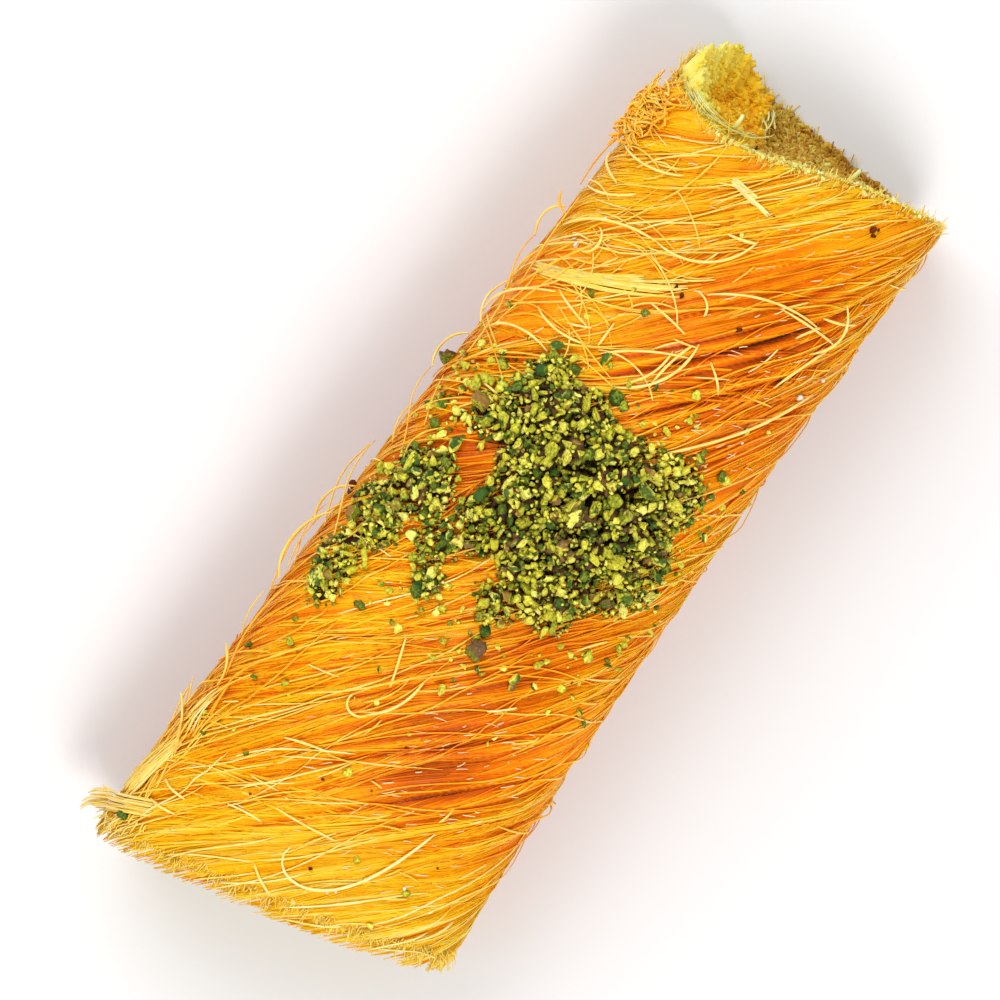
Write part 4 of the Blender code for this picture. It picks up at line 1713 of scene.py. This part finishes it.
def icosphere(subdivisions: int) -> tuple[Array, Array]:
    """A ball of triangles: an icosahedron whose triangles are split in four, pushed out to radius 1.

    Args:
        subdivisions: How many times each triangle is split.

    Returns:
        Points and triangles.
    """
    golden = (1 + math.sqrt(5)) / 2
    points = [p for a in (-1, 1) for b in (-golden, golden) for p in ((0, a, b), (a, b, 0), (b, 0, a))]
    points = unit(np.array(points, float))
    near = np.linalg.norm(points[:, None] - points[None], axis=-1)
    joined = (near > 0.1) & (near < 1.2)
    faces = np.array([(a, b, c) for a in range(12) for b in range(a) for c in range(b)
                      if joined[a, b] and joined[b, c] and joined[a, c]])
    for _ in range(subdivisions):
        edges = np.sort(faces[:, [[0, 1], [1, 2], [2, 0]]].reshape(-1, 2), axis=1)
        edges, which = np.unique(edges, axis=0, return_inverse=True)
        middle = which.reshape(-1, 3) + len(points)
        points = np.concatenate([points, unit(points[edges].mean(axis=1))])
        a, b, c = faces.T
        ab, bc, ca = middle.T
        quarters = ((a, ab, ca), (ab, b, bc), (ca, bc, c), (ab, bc, ca))
        faces = np.concatenate([np.stack(q, axis=1) for q in quarters])
    normal = np.cross(points[faces[:, 1]] - points[faces[:, 0]], points[faces[:, 2]] - points[faces[:, 0]])
    inward = (normal * points[faces].mean(axis=1)).sum(axis=1) < 0
    faces[inward] = faces[inward][:, ::-1]
    return points, faces


@dataclass
class Crumbs:
    """Chopped crumbs as one mesh: balls cut by a few random planes, stretched and turned."""

    detail: int = 1
    cuts: int = 6
    rough: Pair = (0.78, 1.18)
    stretch: Pair = (0.75, 1.35)
    skinned: float = 0.45

    def piece(self, name: str, centres: Array, sizes: Array, seed: int, **colours: Array) -> Piece:
        """Makes the crumbs.

        A crumb's point goes back to each cutting plane that it lies beyond: p - max(0, p.n - d) n.
        The attribute flesh is 1 where that moved it, and all over the crumbs that have no skin left.

        Args:
            name: Name of the piece.
            centres: Middle of each crumb.
            sizes: Radius of each, or three half sizes of each.
            seed: Seed of the shapes.
            colours: Number attributes, one value a crumb.

        Returns:
            The piece.
        """
        draw = seeded(seed)
        ball, faces = icosphere(self.detail)
        number, corners = len(centres), len(ball)
        points = ball * draw.uniform(*self.rough, (number, corners, 1))
        flesh = np.repeat(draw.uniform(0, 1, (number, 1)) > self.skinned, corners, axis=1).astype(float)
        for _ in range(self.cuts):
            plane = unit(draw.normal(size=(number, 1, 3)))
            beyond = np.maximum(0, (points * plane).sum(axis=-1) - draw.uniform(0.25, 0.75, (number, 1)))
            points = points - beyond[..., None] * plane
            flesh = np.maximum(flesh, beyond > 0.0)
        points = points * draw.uniform(*self.stretch, (number, 1, 3))
        axes = np.linalg.qr(draw.normal(size=(number, 3, 3)))[0]
        axes[np.linalg.det(axes) < 0, :, 0] *= -1
        points = np.einsum("nij,nkj->nki", axes, points) * sizes.reshape(number, 1, -1) + centres[:, None, :]
        joined = faces[None] + (np.arange(number) * corners)[:, None, None]
        values = {key: np.repeat(value, corners) for key, value in colours.items()}
        values["flesh"] = flesh
        return new_piece(name, points.reshape(-1, 3), [joined.reshape(-1, 3)], False, **values)


@dataclass(frozen=True)
class Patch:
    """A patch of nut seen from above: its middle, its half sizes and its thickness."""

    x: float
    y: float
    half_x: float
    half_y: float
    thick: float

    def dome(self, x: Array, y: Array) -> Array:
        """Thickness over (x, y): thick * (1 - r^2) ^ 0.6, with r wobbled by direction; below 0 outside.

        Args:
            x: Places along the log.
            y: Places across it.

        Returns:
            The thickness at each.
        """
        u, v = (x - self.x) / self.half_x, (y - self.y) / self.half_y
        direction = np.arctan2(v, u)
        wobble = 1 + 0.07 * np.sin(3 * direction + self.x / MM) + 0.05 * np.sin(7 * direction + self.y / MM)
        inside = 1 - (u**2 + v**2) / wobble**2
        return self.thick * np.sign(inside) * np.abs(inside) ** 0.6


@dataclass
class Ground:
    """A height map over the log's top, on which crumbs come to rest one after another."""

    winding: Winding
    patches: tuple[Patch, ...]
    corner: Pair = (-30.0 * MM, -23.0 * MM)
    size: Pair = (58.0 * MM, 45.0 * MM)
    cell: float = 0.2 * MM
    over: float = 0.25 * MM
    ceiling: float = 35.7 * MM

    def __post_init__(self) -> None:
        """Takes the skin's height, and the height that the heap should reach."""
        self.x, self.y = (c + np.arange(0, s, self.cell) for c, s in zip(self.corner, self.size))
        self.skin_height = self.winding.laid(self.x[:, None], self.y[None, :])[..., 2]
        self.height = self.skin_height.copy()
        domes = [patch.dome(self.x[:, None], self.y[None, :]) for patch in self.patches]
        lumps = 1 + 0.36 * ripples(self.x[:, None] / (40 * MM), self.y[None, :] / (40 * MM), 10, 13, 24)
        self.wanted = np.minimum(np.max(domes, axis=0) * lumps, self.ceiling - self.skin_height)
        self.colour = np.zeros_like(self.height)

    def drop(self, radii: Array, draw: np.random.Generator, limit: float,
             tries: int = 7) -> tuple[Array, Array]:
        """Drops crumbs, each of a few tries at the place that lacks most of its wanted height.

        A crumb's middle comes to rest where its round underside first touches: the greatest of the
        map's height plus the root of r^2 - d^2 within its radius. The map then rises to its top. A
        crumb that finds no place that lacks height, or would come to lie too high, is left out.

        Args:
            radii: Radius of each crumb.
            draw: Random draws.
            limit: Places with a wanted height under this get none.
            tries: Tries for each.

        Returns:
            Middles and radii of the crumbs that found a place.
        """
        open_cells = np.argwhere(self.wanted > limit)
        kept = []
        for k, radius in enumerate(radii):
            picks = open_cells[draw.integers(0, len(open_cells), tries)]
            cells = tuple(picks.T)
            lack = self.wanted[cells] + self.skin_height[cells] - self.height[cells]
            if lack.max() < 0.5 * radius:
                continue
            i, j = picks[np.argmax(lack)]
            reach = int(radius / self.cell)
            rows, columns = slice(i - reach, i + reach + 1), slice(j - reach, j + reach + 1)
            away = (self.x[rows, None] - self.x[i]) ** 2 + (self.y[None, columns] - self.y[j]) ** 2
            bulge = np.sqrt(np.maximum(radius**2 - away, 0))
            inside = away < radius**2
            rest = float(np.max(np.where(inside, self.height[rows, columns] + bulge, 0))) - 0.4 * radius
            if rest + 0.3 * radius > self.wanted[i, j] + self.skin_height[i, j] + self.over:
                continue
            raised = inside & (rest + bulge > self.height[rows, columns])
            self.height[rows, columns] = np.where(raised, rest + bulge, self.height[rows, columns])
            self.colour[rows, columns] = np.where(raised, k % 97 / 97, self.colour[rows, columns])
            kept.append((self.x[i], self.y[j], rest, radius))
        table = np.array(kept).reshape(-1, 4)
        return table[:, :3], table[:, 3]


@dataclass
class Heap:
    """The ground pistachio: a core of packed crumbs, the crumbs on it, chunks and strays."""

    winding: Winding
    patches: tuple[Patch, ...] = tuple(Patch(*(size * MM for size in sizes)) for sizes in (
        (5.1, -2.0, 11.6, 11.6, 5.4), (10.6, 5.2, 6.8, 6.6, 3.6), (9.6, -8.2, 7.2, 7.0, 3.0),
        (-2.6, -5.3, 7.4, 7.0, 3.2), (2.6, -11.0, 6.4, 5.8, 2.6), (14.8, 8.6, 3.0, 3.2, 1.9),
        (13.6, -11.0, 3.9, 3.8, 1.5), (-9.4, -2.0, 3.4, 3.2, 1.7), (-3.3, 4.9, 4.2, 3.6, 2.2),
        (-3.6, 13.4, 4.6, 4.6, 2.4), (-9.4, 15.2, 5.0, 4.0, 2.2), (-16.2, 15.8, 4.6, 3.2, 1.7),
        (-20.4, 15.4, 2.6, 2.4, 1.2), (-8.2, 7.8, 3.4, 3.0, 1.5), (-12.4, 5.9, 2.4, 2.3, 1.3),
        (7.4, 10.6, 4.0, 3.6, 2.0),
    ))
    packed: int = 3400
    fine: int = 2500
    medium: int = 3400
    coarse: int = 240
    strays: int = 380
    bedded: float = 0.72  # share of the heap's height at which a placed crumb lies on it
    core_edge: float = 0.9 * MM  # the core ends where the heap gets thinner
    loose_depth: float = 1.7 * MM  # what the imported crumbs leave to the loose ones
    stray_ring: Triple = (1.5, -1.0, 15.5)  # middle and radius, in millimetres
    chunks: tuple = (
        ((-15.7, -3.1), (1.55, 1.35, 1.3), 0.30, 0.90),
        ((-12.2, -1.2), (0.9, 0.8, 0.8), 0.45, 0.88),
        ((-13.5, -2.7), (0.9, 0.8, 0.7), 0.08, 0.05),
        ((7.9, 12.3), (1.4, 1.3, 1.1), 0.50, 0.68),
        ((9.6, 19.2), (1.3, 1.1, 1.1), 0.30, 0.92),
        ((4.1, -1.7), (1.7, 1.3, 1.1), 0.80, 0.60),
        ((6.6, -1.6), (1.4, 1.1, 0.9), 0.95, 0.30),
        ((-0.6, 6.4), (1.6, 0.9, 0.7), 0.12, 0.12),
        ((-2.2, 14.4), (1.4, 1.2, 1.0), 0.72, 0.30),
        ((-2.8, 12.0), (1.1, 0.9, 0.8), 0.08, 0.05),
        ((-10.9, 16.0), (1.1, 0.9, 0.9), 0.30, 0.72),
        ((-19.6, 15.6), (1.3, 1.0, 0.8), 0.92, 0.30),
        ((-14.0, 6.2), (1.1, 0.9, 0.8), 0.10, 0.05),
        ((15.3, 9.0), (1.0, 0.9, 0.8), 0.12, 0.05),
        ((10.9, -6.4), (1.2, 1.0, 0.9), 0.85, 0.40),
        ((17.6, 1.2), (1.0, 0.8, 0.7), 0.15, 0.08),
    )
    lone: tuple = (
        (-55.8, 17.7, 0.8, 0.05), (-33.5, 15.2, 0.5, 0.3), (-31.9, 11.8, 0.6, 0.5), (-27.7, 14.5, 0.6, 0.5),
        (-31.0, 18.1, 0.6, 0.1), (-21.5, -2.6, 0.8, 0.75), (-25.3, 15.5, 0.5, 0.3), (-19.5, 10.4, 0.7, 0.2),
        (-16.1, 8.9, 0.5, 0.6), (16.6, -2.9, 0.6, 0.7), (17.9, -5.6, 0.6, 0.7), (23.2, -5.9, 0.6, 0.7),
        (9.7, 15.1, 0.7, 0.5), (12.8, 13.8, 0.8, 0.5), (17.5, -13.8, 0.9, 0.2), (-9.4, -10.7, 0.6, 0.6),
        (-8.6, -13.7, 0.7, 0.6), (-5.7, -16.2, 0.7, 0.5), (-11.8, -10.3, 0.5, 0.7), (18.0, -10.5, 0.8, 0.3),
    )

    def tints(self, count: int, draw: np.random.Generator) -> dict[str, Array]:
        """Flesh and skin colours: mostly yellow, some olive or dark green, some with tan or purple skin.

        Args:
            count: How many crumbs.
            draw: Random draws.

        Returns:
            Both attributes by name.
        """
        kind = draw.uniform(0, 1, count)
        tint = np.where(kind < 0.62, draw.normal(0.81, 0.11, count), draw.normal(0.52, 0.10, count))
        tint = np.where(kind > 0.88, draw.normal(0.15, 0.08, count), tint)
        brown = draw.uniform(0, 1, count) < 0.3
        skin = np.where(brown, draw.uniform(0.64, 0.94, count), draw.uniform(0, 0.5, count))
        return {"tint": tint.clip(0, 1), "skin": skin}

    def core(self, ground: Ground) -> Piece:
        """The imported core: the map of its crumbs over a flat underside, walled round its edge.

        Args:
            ground: The map, with its packed crumbs.

        Returns:
            The piece.
        """
        held = ground.wanted > self.core_edge
        number = np.where(held, np.cumsum(held).reshape(held.shape) - 1, -1)
        i, j = np.nonzero(held)
        rough = seeded(597).uniform(-0.24, 0.14, len(i)) * MM
        top = np.stack([ground.x[i], ground.y[j], ground.height[i, j] + rough], axis=1)
        under = top.copy()
        under[:, 2] = ground.skin_height[i, j] - 0.6 * MM
        corners = np.stack([number[:-1, :-1], number[1:, :-1], number[1:, 1:], number[:-1, 1:]], axis=-1)
        quads = corners.reshape(-1, 4)
        quads = quads[(quads >= 0).all(axis=1)]
        edges = quads[:, [[0, 1], [1, 2], [2, 3], [3, 0]]].reshape(-1, 2)
        _, first, times = np.unique(np.sort(edges, axis=1), axis=0, return_index=True, return_counts=True)
        rim = edges[first[times == 1]]
        walls = np.stack([rim[:, 1], rim[:, 0], rim[:, 0] + len(top), rim[:, 1] + len(top)], axis=1)
        shade = ground.colour[i, j]
        # The core is dark, with a dark rind and little tint: painted shade in the gaps between the crumbs on
        # it.
        values = {"tint": 0.30 * shade, "skin": 1 - 0.16 * ((shade * 7) % 1), "flesh": 1.0 * shade - 0.4}
        doubled = {key: np.tile(value, 2) for key, value in values.items()}
        points = np.concatenate([top, under])
        faces = [quads, quads[:, ::-1] + len(top), walls]
        return new_piece("pistachio_core", points, faces, False, **doubled)

    def grains(self, ground: Ground) -> list[Piece]:
        """Loose crumbs dropped on the core: the coarse ones first, then finer ones between and on them.

        Args:
            ground: The map, which the crumbs raise.

        Returns:
            The pieces.
        """
        draw = seeded(601)
        plans = (
            ("pistachio_coarse", self.coarse, (0.66, 1.0), Crumbs(2, 6, (0.66, 1.26), (0.6, 1.3)), 0.6),
            ("pistachio_crumbs", self.medium, (0.36, 0.8), Crumbs(1, 3, (0.42, 1.4), (0.6, 1.35)), 0.25),
            ("pistachio_fines", self.fine, (0.2, 0.34), Crumbs(0, 2, (0.6, 1.3)), 0.05),
        )
        made = []
        for name, count, sizes, shape, limit in plans:
            spread = sizes[0] + (sizes[1] - sizes[0]) * draw.uniform(0, 1, count) ** 1.3
            middles, radii = ground.drop(spread * MM, draw, limit * MM)
            made.append(shape.piece(name, middles, radii, 611 + count, **self.tints(len(radii), draw)))
        return made

    def placed(self) -> list[Piece]:
        """Chunks and lone crumbs at their places, and strays round the heap and over the dough.

        Returns:
            The pieces.
        """
        draw = seeded(641)
        spots, sizes, tint, skin = zip(*self.chunks)
        x, y = np.array(spots).T * MM
        size = np.array(sizes) * MM
        chunk = Crumbs(2, 3, (0.62, 1.2), (0.8, 1.2), 1.0)
        big = chunk.piece("pistachio_chunks", self.rest(x, y, size[:, 2] * 0.5), size, 651,
                          tint=np.array(tint), skin=np.array(skin))
        x, y, size, tint = np.array(self.lone).T
        skin = draw.uniform(0, 0.5, len(x))
        lone = Crumbs().piece("pistachio_lone", self.rest(x * MM, y * MM, size * 0.5 * MM), size * MM, 653,
                              tint=tint, skin=skin)
        count = self.strays
        angle, away = draw.uniform(0, TURN, count), 1 + draw.exponential(0.2, count)
        x, y, ring = self.stray_ring
        x, y = (x + ring * away * np.cos(angle)) * MM, (y + ring * away * np.sin(angle)) * MM
        near = draw.uniform(0, 1, count) < 0.22
        x = np.where(near, draw.uniform(1, 14, count) * MM, x)
        y = np.where(near, draw.uniform(12, 18.5, count) * MM, y)
        far = draw.uniform(0, 1, count) > 0.9
        x = np.where(far, draw.uniform(-50, 48, count) * MM, x)
        y = np.where(far, draw.uniform(-16, 18, count) * MM, y)
        keep = np.abs(y) < 18.6 * MM
        radius = draw.gamma(4.0, 0.1, count).clip(0.18, 0.8) * MM
        tints = {key: value[keep] for key, value in self.tints(count, draw).items()}
        places = self.rest(x, y, radius * 0.4)[keep]
        stray = Crumbs().piece("pistachio_strays", places, radius[keep], 657, **tints)
        return [big, lone, stray]

    def rest(self, x: Array, y: Array, height: Array) -> Array:
        """Places over the skin's points under (x, y), lifted out of the heap where it lies there."""
        heap = np.maximum(0, np.max([patch.dome(x, y) for patch in self.patches], axis=0))
        return self.winding.laid(x, y, height, self.bedded * heap)

    def dress(self, finish: Material) -> None:
        """Makes every piece of the heap and gives it the nut's finish.

        Args:
            finish: The nut's finish.
        """
        ground = Ground(self.winding, self.patches)
        draw = seeded(599)
        wanted, ground.wanted = ground.wanted, ground.wanted - self.loose_depth
        ground.drop(draw.uniform(0.35, 0.65, self.packed) * MM, draw, 0.0)
        ground.wanted = wanted
        settle(Part.NUTS, finish, self.core(ground), *self.grains(ground), *self.placed())


# ---- drops and flecks


@dataclass
class Trimmings:
    """Small things on the skin, placed one by one: drops of syrup, white as painted glints, and burnt
    flecks.
    """

    winding: Winding
    drops: tuple = (
        (29.0, 15.3, 0.42), (29.5, 15.9, 0.3), (33.5, 14.2, 0.36), (30.3, -15.8, 0.42), (33.6, -16.7, 0.45),
        (-48.6, -6.2, 0.22), (-47.9, -6.9, 0.2), (-43.0, -13.0, 0.2), (-24.0, -14.0, 0.18),
        (22.0, -13.5, 0.2),
    )
    flecks: tuple = (
        (31.8, 3.3, 0.34), (31.4, 2.2, 0.4), (32.1, -5.4, 0.42), (51.0, -11.0, 0.4), (50.4, -11.5, 0.34),
        (51.3, -11.7, 0.26), (45.1, -0.9, 0.22), (-29.5, -3.4, 0.22), (-38.2, 2.0, 0.24), (-44.6, 7.7, 0.16),
        (-47.5, -3.0, 0.22), (-38.8, -14.8, 0.16), (-42.3, 18.2, 0.22), (-8.8, 19.6, 0.6),
        (-9.8, 19.5, 0.55),
    )

    def spots(self, table: tuple, height: float) -> tuple[Array, Array]:
        """Places on the skin at a height of so many radii, and the radii."""
        x, y, radius = np.array(table).T * MM
        return self.winding.laid(x, y, radius * height), radius

    def dress(self, dough: Material) -> None:
        """Makes the small things with their finishes.

        Args:
            dough: Finish of the flecks.
        """
        # White beads where syrup glints: painted glints.
        places, radius = self.spots(self.drops, 0.55)
        drops = Crumbs(1, 4, (0.85, 1.15), (0.7, 1.3)).piece("painted_glint_bits", places, radius, 801)
        settle(Part.DOUGH, GlintFinish().make(), drops)
        places, radius = self.spots(self.flecks, 0.4)
        flecks = Crumbs(1, 4).piece("burnt_flecks", places, radius, 803, bake=np.full(len(radius), 0.96))
        settle(Part.DOUGH, dough, flecks)


# ---- studio


@dataclass
class Studio:
    """A pale table, soft light from the foot and the round side, and a camera that looks down."""

    heading: float = -53.336
    frame_width: float = 118.0 * MM
    distance: float = 0.70
    aim: Triple = (-0.06 * MM, 4.94 * MM, 14.0 * MM)
    sensor: float = 36.0

    def camera(self) -> None:
        """Looks straight down, turned so that the log runs from lower left to upper right."""
        data = bpy.data.cameras.new("camera")
        data.sensor_width = self.sensor
        data.lens = self.sensor * self.distance / self.frame_width
        camera = bpy.data.objects.new("camera", data)
        camera.location = Vector(self.aim) + Vector((0, 0, self.distance))
        camera.rotation_euler = (0.0, 0.0, math.radians(self.heading))
        bpy.context.scene.collection.objects.link(camera)
        bpy.context.scene.camera = camera

    def lamp(self, name: str, place: tuple, size: float, power: float, colour: tuple) -> None:
        """A square soft light that faces the log.

        Args:
            name: Name of the light.
            place: Where it hangs.
            size: Its side.
            power: Its power in watts.
            colour: Its colour.
        """
        data = bpy.data.lights.new(name, "AREA")
        data.size, data.energy, data.color = size, power, colour
        lamp = bpy.data.objects.new(name, data)
        lamp.location = place
        towards = Vector(self.aim) - Vector(place)
        lamp.rotation_euler = towards.to_track_quat("-Z", "Y").to_euler()
        bpy.context.scene.collection.objects.link(lamp)

    def floor(self) -> None:
        """The table: one large square under the log."""
        half = 2.0
        corners = np.array([(-half, -half, 0), (half, -half, 0), (half, half, 0), (-half, half, 0)])
        piece = new_piece("table", corners, [np.array([[0, 1, 2, 3]])], smooth=False)
        piece.data.materials.append(FloorFinish().make())

    def build(self) -> None:
        """Sets up floor, lights, sky and camera."""
        self.floor()
        self.camera()
        self.lamp("key", (-0.30, -0.38, 0.76), 0.32, 4.6, (1.0, 0.985, 0.96))
        self.lamp("fill", (0.30, 0.50, 0.62), 0.6, 4.0, (0.97, 0.985, 1.0))
        world = bpy.data.worlds.new("soft_sky")
        world.use_nodes = True
        sky = world.node_tree.nodes["Background"]
        sky.inputs["Color"].default_value = (1.0, 1.0, 1.0, 1.0)
        sky.inputs["Strength"].default_value = 0.62
        bpy.context.scene.world = world
        bpy.context.scene.view_settings.view_transform = "Standard"


def main() -> None:
    """Builds the kunafa, piece by piece, and its studio."""
    logging.basicConfig(level=logging.INFO, format="%(message)s")
    skin = Skin()
    winding = Winding(skin)
    Studio().build()
    finish = DoughFinish().make()
    dough = Dough(skin, winding)
    dough.dress(finish)
    Flyaways(skin).dress(LooseFinish().make())
    CutEnds(dough).dress(finish)
    Heap(winding).dress(NutFinish().make())
    Trimmings(winding).dress(finish)


if __name__ == "__main__":
    main()
